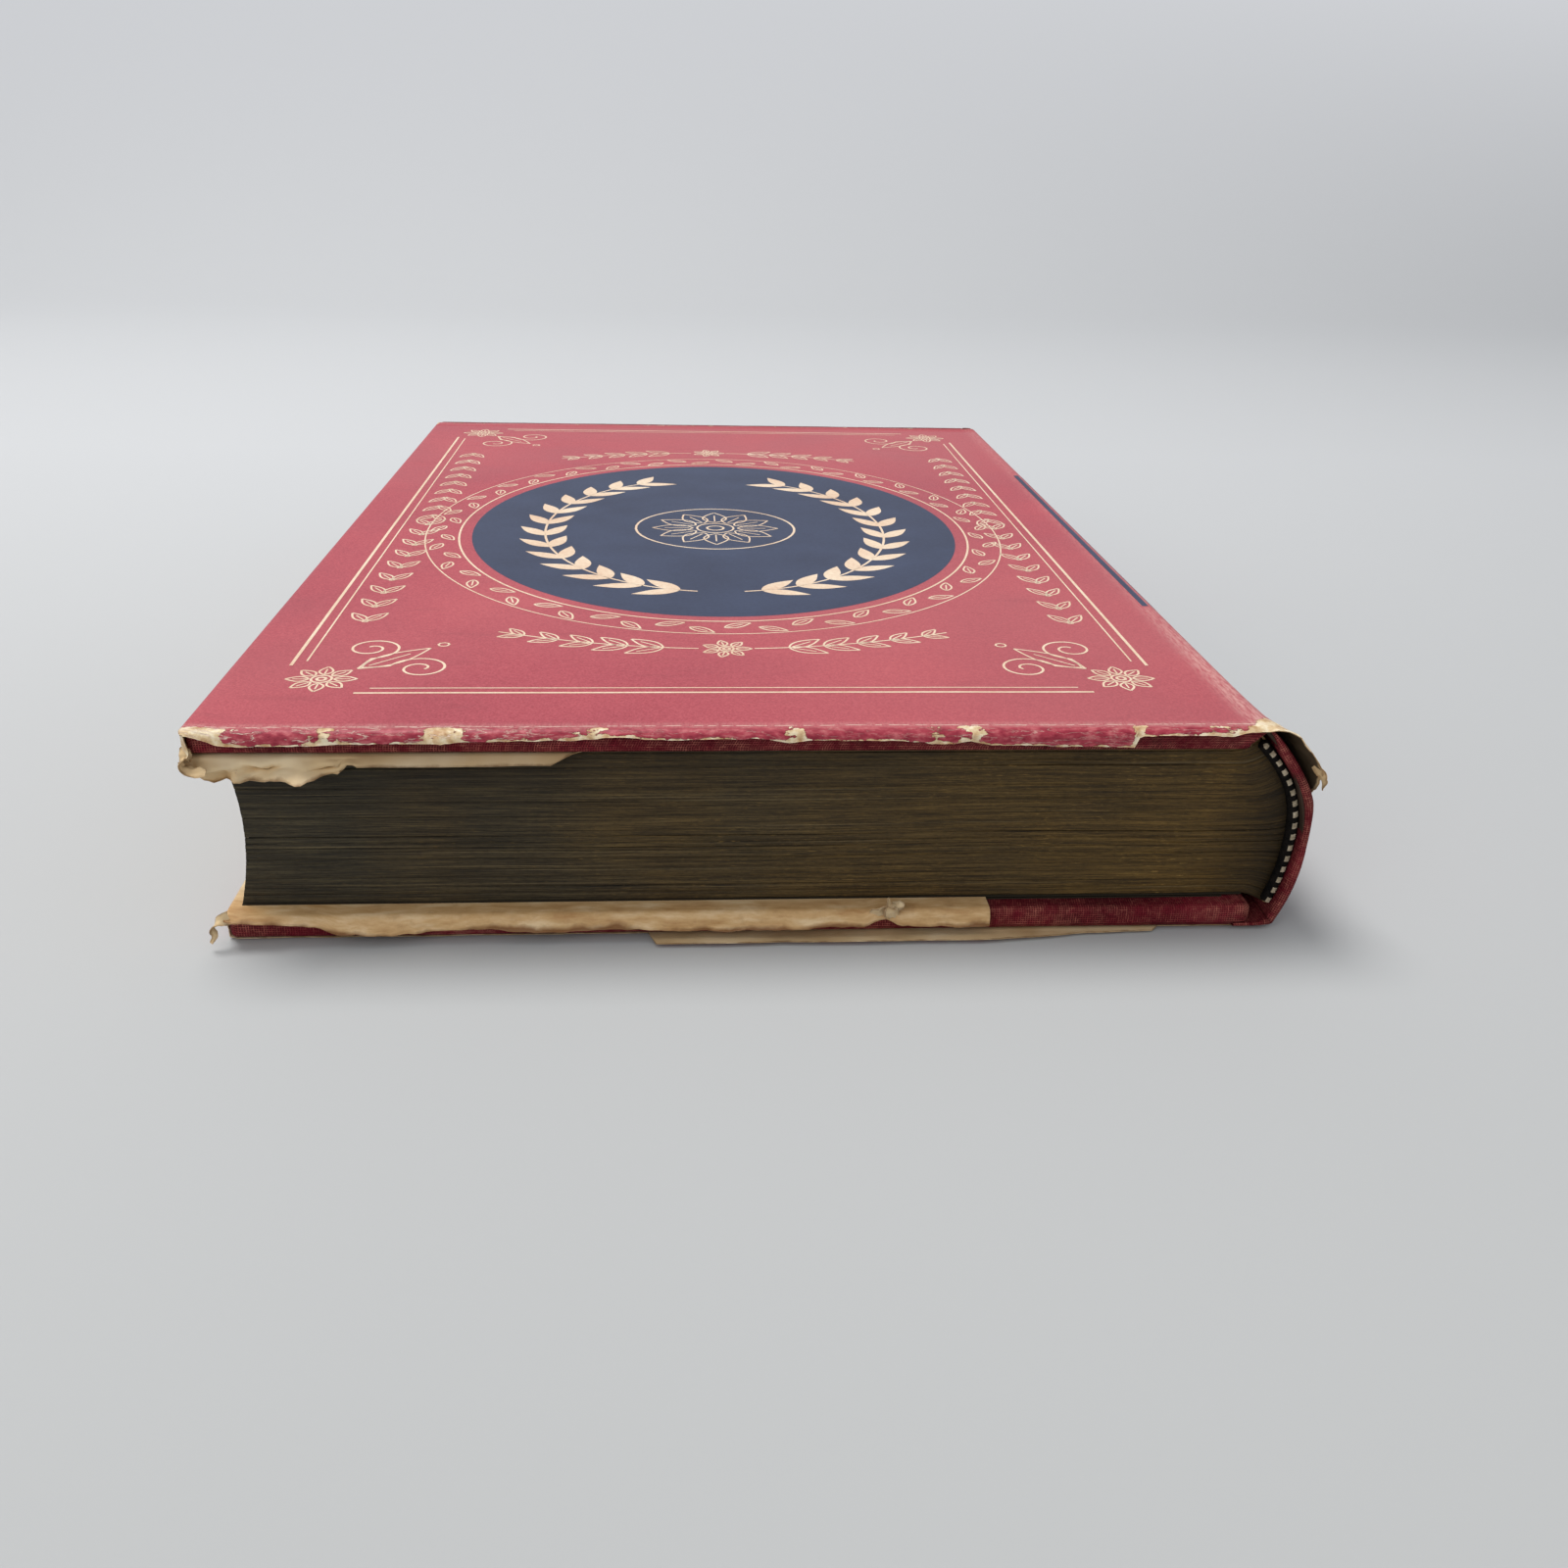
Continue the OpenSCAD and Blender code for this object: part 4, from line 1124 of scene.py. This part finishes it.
# %% Scraps that still hang on
def scrap(name, line, widths, twist, seed, body):
    line = np.asarray(line, float)
    at = np.linspace(0, len(line) - 1, 22)
    mid = np.column_stack([np.interp(at, np.arange(len(line)), line[:, k]) for k in range(3)])
    kernel = np.array([1, 2, 1]) / 4
    for _ in range(4):
        mid[1:-1] = np.stack([np.convolve(mid[:, k], kernel, "valid") for k in range(3)], 1)
    ahead = np.gradient(mid, axis=0)
    ahead /= np.linalg.norm(ahead, axis=1, keepdims=True)
    side = np.cross(ahead, [0.2, 1.0, 0.1])
    side /= np.linalg.norm(side, axis=1, keepdims=True)
    other = np.cross(ahead, side)
    turn_ = np.linspace(0, twist, 22)[:, None]
    side = side * np.cos(turn_) + other * np.sin(turn_)
    half = np.interp(np.linspace(0, 1, 22), np.linspace(0, 1, len(widths)), widths)[:, None] / 2
    half = half * (1 + 0.25 * rough(at, 0, 0.6, seed))[:, None]
    across = np.linspace(-1, 1, 9)
    net = mid[:, None] + side[:, None] * (half * across)[..., None]
    crease = 0.28 * folded(at[:, None] * 1.4, across * 1.2, 0.9, seed + 1)
    crease = crease + 0.15 * rough(at[:, None] * 2, across * 2, 0.7, seed + 2)
    net += np.cross(ahead, side)[:, None] * (crease * np.minimum(half, 1))[..., None]
    net[..., 0] = np.clip(net[..., 0], 0.05, 165.2)
    net[..., 2] = np.clip(net[..., 2], 0.1, top)
    edge = half * (1 - np.abs(across))
    made = sheet_of(name, net, paper_t, {"edge": edge}, [jacket_back, jacket_back])
    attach(made, body)
    return made


scrap("rear_fold_tail",
      [(3.2, -0.9, 4.6), (1.6, -1.5, 4.3), (0.8, -1.9, 3.3), (1.2, -1.8, 2.2), (0.6, -2.1, 1.0)],
      [2.2, 1.6, 0.9, 0.8, 0.5], 3.6, 101, "rear_cover")
scrap("rear_flap_crumb", [(98.6, -1.0, 3.6), (99.8, -1.7, 4.9), (101.6, -1.4, 5.7), (103.0, -1.6, 5.5)],
      [2.2, 3.6, 2.6, 0.9], 2.0, 104, "rear_cover")
scrap("rear_flap_crumb_stem", [(101.8, -1.0, 3.4), (100.9, -1.8, 4.8), (100.5, -1.5, 6.9)],
      [1.6, 2.4, 0.9], 1.4, 107, "rear_cover")
scrap("front_corner_curl",
      [(1.6, -0.8, 31.0), (0.5, -1.3, 30.7), (0.4, -1.9, 29.6), (1.6, -2.3, 28.8), (3.6, -2.2, 28.4)],
      [1.4, 2.4, 2.6, 2.2, 1.0], 2.2, 110, "front_cover")
scrap("spine_tag", [(163.2, -0.2, 27.8), (164.2, -1.0, 26.9), (164.8, -1.4, 25.7), (164.7, -1.2, 24.3)],
      [0.9, 1.5, 1.2, 0.4], 1.6, 113, "text_block")
print("scraps made")

# %% [markdown]
# The printing lies on the panel: a navy oval, a ring, a leafed frame, and a wreath about a rosette.
# They are old stock ornaments, as any printer had in type. A shader could draw them, but thin shapes
# that follow the panel stay sharp at any distance, so each line is laid as a narrow ribbon.

# %% Printing inks
def ink(name, low, high):
    f = Finish(name, 0.5)
    place = f.place()
    cloud = f.shared(0.6, f.noise(place, 60, 4), f.noise(place, 1400, 2))
    f.set("Base Color", f.scale(cloud, [(0.35, low), (0.65, high)]))
    f.set("Normal", f.bump(f.noise(place, 900, 2), 0.1, 0.04))
    return f.material


navy = ink("navy_ink", "#262f49", "#333e5a")
cream_ink = ink("cream_ink", "#dcb99c", "#efdcc3")


def on_panel(points, lift):
    points = np.asarray(points, float)
    z = top - panel_wave(points[:, 0], points[:, 1]) * ease(points[:, 0], 1, 6) + lift
    return np.column_stack([points, z])


print("inks:", navy.name, cream_ink.name)

# %% [markdown]
# The oval is a flat patch of navy ink printed on the rose paper. Here it is a net of rings that lies a
# hair above the jacket and takes up the panel's slight waves, so its edge stays crisp at any distance.

# %% The navy oval
oval_u, oval_v = 77.05, 113
oval_a, oval_b = 51, 62


def oval_point(angle, grow=0.0):
    return np.array([oval_u + (oval_a + grow) * math.cos(angle), oval_v + (oval_b + grow) * math.sin(angle)])


def navy_oval():
    around, rings = 180, 22
    points = [[oval_u, oval_v]]
    for k in range(1, rings + 1):
        for i in range(around):
            a = 2 * math.pi * i / around
            points.append([oval_u + oval_a * k / rings * math.cos(a),
                           oval_v + oval_b * k / rings * math.sin(a)])
    faces = [[0, 1 + i, 1 + (i + 1) % around] for i in range(around)]
    for k in range(rings - 1):
        first = 1 + k * around
        faces += [[first + i, first + around + i, first + around + (i + 1) % around, first + (i + 1) % around]
                  for i in range(around)]
    return add_mesh("front_oval", on_panel(points, 0.012), faces, None, None, [navy])


oval = navy_oval()
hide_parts("oval_print")
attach(oval, "front_cover")
print("oval", oval_a * 2, "by", oval_b * 2)

# %% [markdown]
# Each ornament is a list of strokes. A stroke is a line of points with a width; a leaf is two bowed
# strokes and a rib. The strokes are cut into short pieces so that they bend with the panel.

# %% Strokes and leaves
strokes = []


def stroke(points, width=0.42, closed=False):
    points = np.asarray(points, float)
    if closed:
        points = np.vstack([points, points[:1]])
    length = path_length(points)
    s = np.linspace(0, length[-1], max(9, int(length[-1] / 0.8) + 1))
    strokes.append((np.column_stack([np.interp(s, length, points[:, k]) for k in (0, 1)]), width))


def turned(points, origin, angle, size=1.0):
    c, s = math.cos(angle), math.sin(angle)
    return np.asarray(origin) + size * np.asarray(points, float) @ np.array([[c, s], [-s, c]])


def leaf_shape(origin, angle, length, width=0.3, filled=False):
    x = np.linspace(0, 1, 13)
    bow = width * np.sin(math.pi * x ** 0.8)
    if filled:
        strokes.append((turned(np.column_stack([x, 0 * x]), origin, angle, length), 2 * length * bow))
        return
    stroke(turned(np.column_stack([x, bow]), origin, angle, length), 0.36)
    stroke(turned(np.column_stack([x, -bow]), origin, angle, length), 0.36)
    stroke(turned([[0.1, 0], [0.7, 0]], origin, angle, length), 0.28)


def circle(centre, radius, width=0.42, count=40):
    a = np.linspace(0, 2 * math.pi, count)[:-1]
    stroke(np.column_stack([centre[0] + radius * np.cos(a), centre[1] + radius * np.sin(a)]), width, True)


def rosette(centre, radius, petals=8):
    for k in range(petals):
        petal = 2 * math.pi * k / petals
        leaf_shape(centre + radius * 0.34 * np.array([math.cos(petal), math.sin(petal)]),
                   2 * math.pi * k / petals, radius * 0.62, 0.3)
    circle(centre, radius * 0.28)
    circle(centre, radius * 0.13, 0.5, 20)


def scroll(origin, angle, size, hand):
    a = np.linspace(0, 1.6 * 2 * math.pi, 46)
    r = 1 - a / a[-1] * 0.82
    curl = np.column_stack([1.9 + r * np.cos(math.pi + a), hand * r * np.sin(math.pi + a)])
    stroke(turned(np.vstack([[[0, 0]], curl[1:]]), origin, angle, size), 0.42)


print("strokes so far:", len(strokes))

# %% [markdown]
# The printed ornament is gathered here as strokes, each a line with a width: a ruled frame with garlands and corner
# rosettes, a ring of leaves round the oval, and a wreath inside it. All of it is traditional ornament.

# %% The frame, the ring and the wreath
frame_u0, frame_u1, frame_v0, frame_v1 = 9, 145.1, 14, 222.5


def garland(start, end, count, length):
    start, end = np.array(start, float), np.array(end, float)
    along = math.atan2(*(end - start)[::-1])
    for k in range(count):
        at = start + (end - start) * (k + 0.5) / count
        toward = along if (k + 0.5) / count < 0.5 else along + math.pi
        for lean in (-0.6, 0.6):
            leaf_shape(at, toward + lean, length, 0.19)
        circle(at, 0.55, 0.3, 14)


def frame_strokes():
    corner = 12
    for grow, width in ((0, 0.55), (2.0, 0.3)):
        u0, u1, v0, v1 = frame_u0 + grow, frame_u1 - grow, frame_v0 + grow, frame_v1 - grow
        for u in (u0, u1):
            stroke([[u, v0 + corner], [u, v1 - corner]], width)
        for v in (v0, v1):
            stroke([[u0 + corner, v], [u1 - corner, v]], width)
    for u in (frame_u0 + 7, frame_u1 - 7):
        garland((u, frame_v0 + 30), (u, frame_v1 - 30), 18, 5.4)
    for u, side in ((frame_u0 + 6, 1), (frame_u1 - 6, -1)):
        for v, way in ((frame_v0 + 6, 1), (frame_v1 - 6, -1)):
            rosette(np.array([u, v]), 5.6)
            lean = math.atan2(way, side)
            for k in (-1, 1):
                scroll(np.array([u + side * 4.5, v + way * 4.5]), lean + k * 0.75, 5.0, k)
            leaf_shape(np.array([u + side * 5, v + way * 5]), lean, 13, 0.17)
            circle((u + side * 16, v + way * 16), 0.9, 0.36, 16)


def ring_strokes():
    turn_ = np.linspace(0, 2 * math.pi, 161)[:-1]
    for grow, width in ((2.6, 0.42), (9.4, 0.3)):
        stroke([oval_point(a, grow) for a in turn_], width, True)
    leaves = 60
    for k in range(leaves):
        a = 2 * math.pi * k / leaves
        slope = math.atan2(oval_b * math.cos(a), -oval_a * math.sin(a))
        leaf_shape(oval_point(a, 6.0), slope + (0.5 if k % 2 else -0.5), 5.2, 0.2)
    for way in (-1, 1):
        middle = oval_point(way * math.pi / 2, 17)
        rosette(middle, 4.4, 7)
        for k in (-1, 1):
            sweep = [middle + np.array([k * x, -way * (x / 13) ** 2]) for x in np.linspace(4.6, 38, 24)]
            stroke(sweep, 0.36)
            for step in range(1, 6):
                at = sweep[4 * step]
                slope = math.atan2(-way * 2 * abs(at[0] - middle[0]) / 169, 1)
                for lean in (-0.55, 0.55):
                    leaf_shape(at, (slope if k > 0 else math.pi - slope) + lean, 7.4 - step * 0.6, 0.2)


def wreath_strokes():
    a_, b_ = oval_a - 15, oval_b - 15
    for side in (-1, 1):
        stem = [(oval_u + side * a_ * math.cos(t), oval_v + b_ * math.sin(t))
                for t in np.linspace(-1.45, 1.1, 50)]
        stroke(stem, 0.5)
        for k in range(13):
            t = -1.36 + 2.42 * k / 12
            slope = math.atan2(b_ * math.cos(t), -side * a_ * math.sin(t))
            for lean in (-0.55, 0.55):
                leaf_shape((oval_u + side * a_ * math.cos(t), oval_v + b_ * math.sin(t)),
                           slope + lean, 9.4, 0.17, True)
    rosette(np.array([oval_u, oval_v]), 14, 12)
    circle((oval_u, oval_v), 17, 0.5)


frame_strokes()
ring_strokes()
wreath_strokes()
print("strokes in the ornament:", len(strokes))

# %% [markdown]
# The strokes are laid on the panel as ink. Each one becomes a thin ribbon, and a leaf is a ribbon that
# swells and narrows. They lie a hair off the paper and follow its waves, as one piece.

# %% Lay the strokes on the panel
def ribbon(points, width):
    t = np.gradient(points, axis=0)
    t /= np.maximum(np.linalg.norm(t, axis=1, keepdims=True), 1e-9)
    half_width = np.reshape(width, (-1, 1)) / 2 if np.ndim(width) else width / 2
    side = np.column_stack([-t[:, 1], t[:, 0]]) * half_width
    return points + side, points - side


def ornament():
    points, faces = [], []
    for line, width in strokes:
        left, right_ = ribbon(line, width)
        first = sum(len(p) for p in points)
        points += [left, right_]
        n = len(line)
        faces += [[first + i, first + n + i, first + n + i + 1, first + i + 1] for i in range(n - 1)]
    return add_mesh("front_ornament", on_panel(np.concatenate(points), 0.026), faces, None, None, [cream_ink])


lines = ornament()
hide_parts("ornament_print")
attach(lines, "front_cover")
print("ornament:", len(lines.data.polygons), "faces")

# %% [markdown]
# The jacket's spine has its own navy panel, which shows along the fold. It is a patch of the same
# section as the jacket, raised by the thickness of the ink.

# %% Navy band on the spine
def spine_band():
    columns = []
    for section, reach, count, front in ((rear_section, 10, 12, False), (front_section, 25.4, 24, True)):
        at = along_path(section(-ink_t, flap_u), np.linspace(0, reach, count), not front)[0]
        columns += list(at[1:] if front else at[::-1])
    rows = np.linspace(58, 168, 24)
    points = [(float(short_of(u, spine_u, spine_give)) + 0.012, v, min(z, top - 0.004))
              for u, z in columns for v in rows]
    faces = net_faces(len(columns), len(rows), 0, True).tolist()
    return add_mesh("spine_band", points, faces, None, None, [navy])


ink_t = 0.015
band = spine_band()
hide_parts("spine_band_print")
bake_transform(band)
print("spine band:", len(band.data.polygons), "faces")

# %% [markdown]
# The boards, endpapers, card, gauze and lining are right as the CAD made them, and show only when a
# cover is open. They keep their solids and get the finish of each stock.

# %% Finishes for the CAD's own layers
def stock(name, low, high, grain, depth_mm, roughness=0.8):
    f = Finish(name, roughness)
    place = f.place()
    cloud = f.shared(0.6, f.noise(place, 35, 4), f.noise(place, grain, 3))
    f.set("Base Color", f.scale(cloud, [(0.35, low), (0.65, high)]))
    f.set("Normal", f.bump(f.noise(place, grain, 3), 0.35, depth_mm))
    return f.material


def endpaper():
    f = Finish("endpaper_finish", 0.8)
    place = f.place()
    cloud = f.shared(0.6, f.noise(place, 35, 4), f.noise(place, 700, 3))
    length = f.node("SeparateXYZ", {"Vector": place}, out=1)
    trimmed = f.span(length, zero_v + (leaf_v0 + 0.7) * MM, zero_v + (leaf_v0 + 1.6) * MM, 1, 0)
    f.set("Base Color", f.mix(trimmed, f.scale(cloud, [(0.35, "#c3ae88"), (0.65, "#d9c8a6")]), "#2a2419"))
    f.set("Normal", f.bump(f.noise(place, 700, 3), 0.35, 0.04))
    return f.material


def gauze():
    f = Finish("gauze", 0.9)
    place = f.node("SeparateXYZ", {"Vector": f.place()}, out=1)
    height = f.node("SeparateXYZ", {"Vector": f.place()}, out=2)
    net_ = f.most(f.math("SINE", f.times(place, 6000)), f.math("SINE", f.times(height, 6000)))
    f.set("Base Color", f.scale(net_, [(0.4, "#a3906a"), (0.9, "#dcd3ba")]))
    f.set("Normal", f.bump(net_, 0.5, 0.1))
    return f.material


finishes = {
    "endpaper": endpaper(),
    "board": stock("board_finish", "#6f5f45", "#94825f", 350, 0.12),
    "lining": stock("lining_finish", "#94754a", "#b2946a", 500, 0.06),
    "inlay": stock("inlay_finish", "#33261c", "#4a382a", 400, 0.08),
}
for name in ("front_flyleaf", "rear_flyleaf", "front_pastedown", "rear_pastedown"):
    nodes[name].data.materials[0] = finishes["endpaper"]
for name in ("front_board", "rear_board"):
    nodes[name].data.materials[0] = finishes["board"]
nodes["spine_inlay"].data.materials[0] = finishes["inlay"]
nodes["spine_lining"].data.materials[0] = finishes["lining"]
nodes["mull"].data.materials[0] = gauze()
print("CAD layers finished:", [n for n, o in nodes.items() if not o.hide_render])

# %% [markdown]
# The book lies on a plain pale floor under soft light: a broad lamp above and behind on the left,
# as in the photograph, so that the head edge is in shade, and a pale sky that fills the shadows.
# The floor's colour is painted darker towards the front, as painted shade.

# %% Floor and light
backdrop = "#ced0d4"


def floor():
    f = Finish("floor_finish", 0.85)
    place = f.place()
    # painted shade: the floor's colour goes darker towards the front
    back = f.span(f.node("SeparateXYZ", {"Vector": place}, out=1), -0.5, 0.25)
    near = f.mix(f.span(f.noise(place, 3, 2), 0.3, 0.7), "#a9abab", "#b0b2b2")
    f.set("Base Color", f.mix(back, near, "#c8cacd"))
    height = f.span(f.node("SeparateXYZ", {"Vector": place}, out=2), 0.0, 0.25)
    seen = f.node("LightPath", out="Is Camera Ray")
    for ray in ("Is Glossy Ray", "Is Transmission Ray"):
        seen = f.most(seen, f.node("LightPath", out=ray))
    glow = f.node("Emission", {"Color": paint(backdrop), "Strength": 1.0})
    pale = f.node("MixShader", {0: f.times(height, seen), 1: f.shader.outputs[0], 2: glow})
    f.tree.links.new(pale, f.tree.nodes["Material Output"].inputs["Surface"])
    bend = [(0.7 + 0.5 * math.sin(a), 0.5 - 0.5 * math.cos(a)) for a in np.radians(np.arange(0, 91, 6))]
    sweep = [(-2.2, 0.0)] + bend + [(1.2, 3.0)]
    points = [(x, y, z - 0.0003) for y, z in sweep for x in (-4, 4)]
    mesh = bpy.data.meshes.new("floor")
    mesh.from_pydata(points, [], [(2 * k, 2 * k + 1, 2 * k + 3, 2 * k + 2) for k in range(len(sweep) - 1)])
    mesh.polygons.foreach_set("use_smooth", [True] * len(mesh.polygons))
    mesh.materials.append(f.material)
    piece = bpy.data.objects.new("floor", mesh)
    bpy.context.collection.objects.link(piece)
    return piece


def lamp(name, place, aim, width, power, colour=(1, 1, 1)):
    data = bpy.data.lights.new(name, "AREA")
    data.shape = "DISK"
    data.size = width
    data.energy = power
    data.color = colour
    made = bpy.data.objects.new(name, data)
    made.location = place
    made.rotation_euler = (Vector(aim) - Vector(place)).to_track_quat("-Z", "Y").to_euler()
    bpy.context.collection.objects.link(made)
    return made


def sky():
    made = bpy.data.worlds.new("sky")
    made.use_nodes = True
    tree = made.node_tree
    light, seen = tree.nodes["Background"], tree.nodes.new("ShaderNodeBackground")
    light.inputs["Color"].default_value = (0.97, 0.985, 1.0, 1)
    light.inputs["Strength"].default_value = 0.5
    seen.inputs["Color"].default_value = paint(backdrop)
    path = tree.nodes.new("ShaderNodeLightPath")
    share = path.outputs["Is Camera Ray"]
    for ray in ("Is Glossy Ray", "Is Transmission Ray"):
        either = tree.nodes.new("ShaderNodeMath")
        either.operation = "MAXIMUM"
        tree.links.new(share, either.inputs[0])
        tree.links.new(path.outputs[ray], either.inputs[1])
        share = either.outputs[0]
    mixed = tree.nodes.new("ShaderNodeMixShader")
    for socket, source in zip(mixed.inputs, (share, light.outputs[0], seen.outputs[0])):
        tree.links.new(source, socket)
    tree.links.new(mixed.outputs[0], tree.nodes["World Output"].inputs["Surface"])
    return made


floor()
lamp("key", (-0.4, 0.2, 1.4), (0, 0, 0), 0.8, 17, (1, 0.985, 0.96))
lamp("fill", (-0.7, -1.1, 0.7), (0, 0, 0.02), 0.9, 3, (1, 0.97, 0.94))
bpy.context.scene.world = sky()
bpy.context.scene.view_settings.view_transform = "Standard"
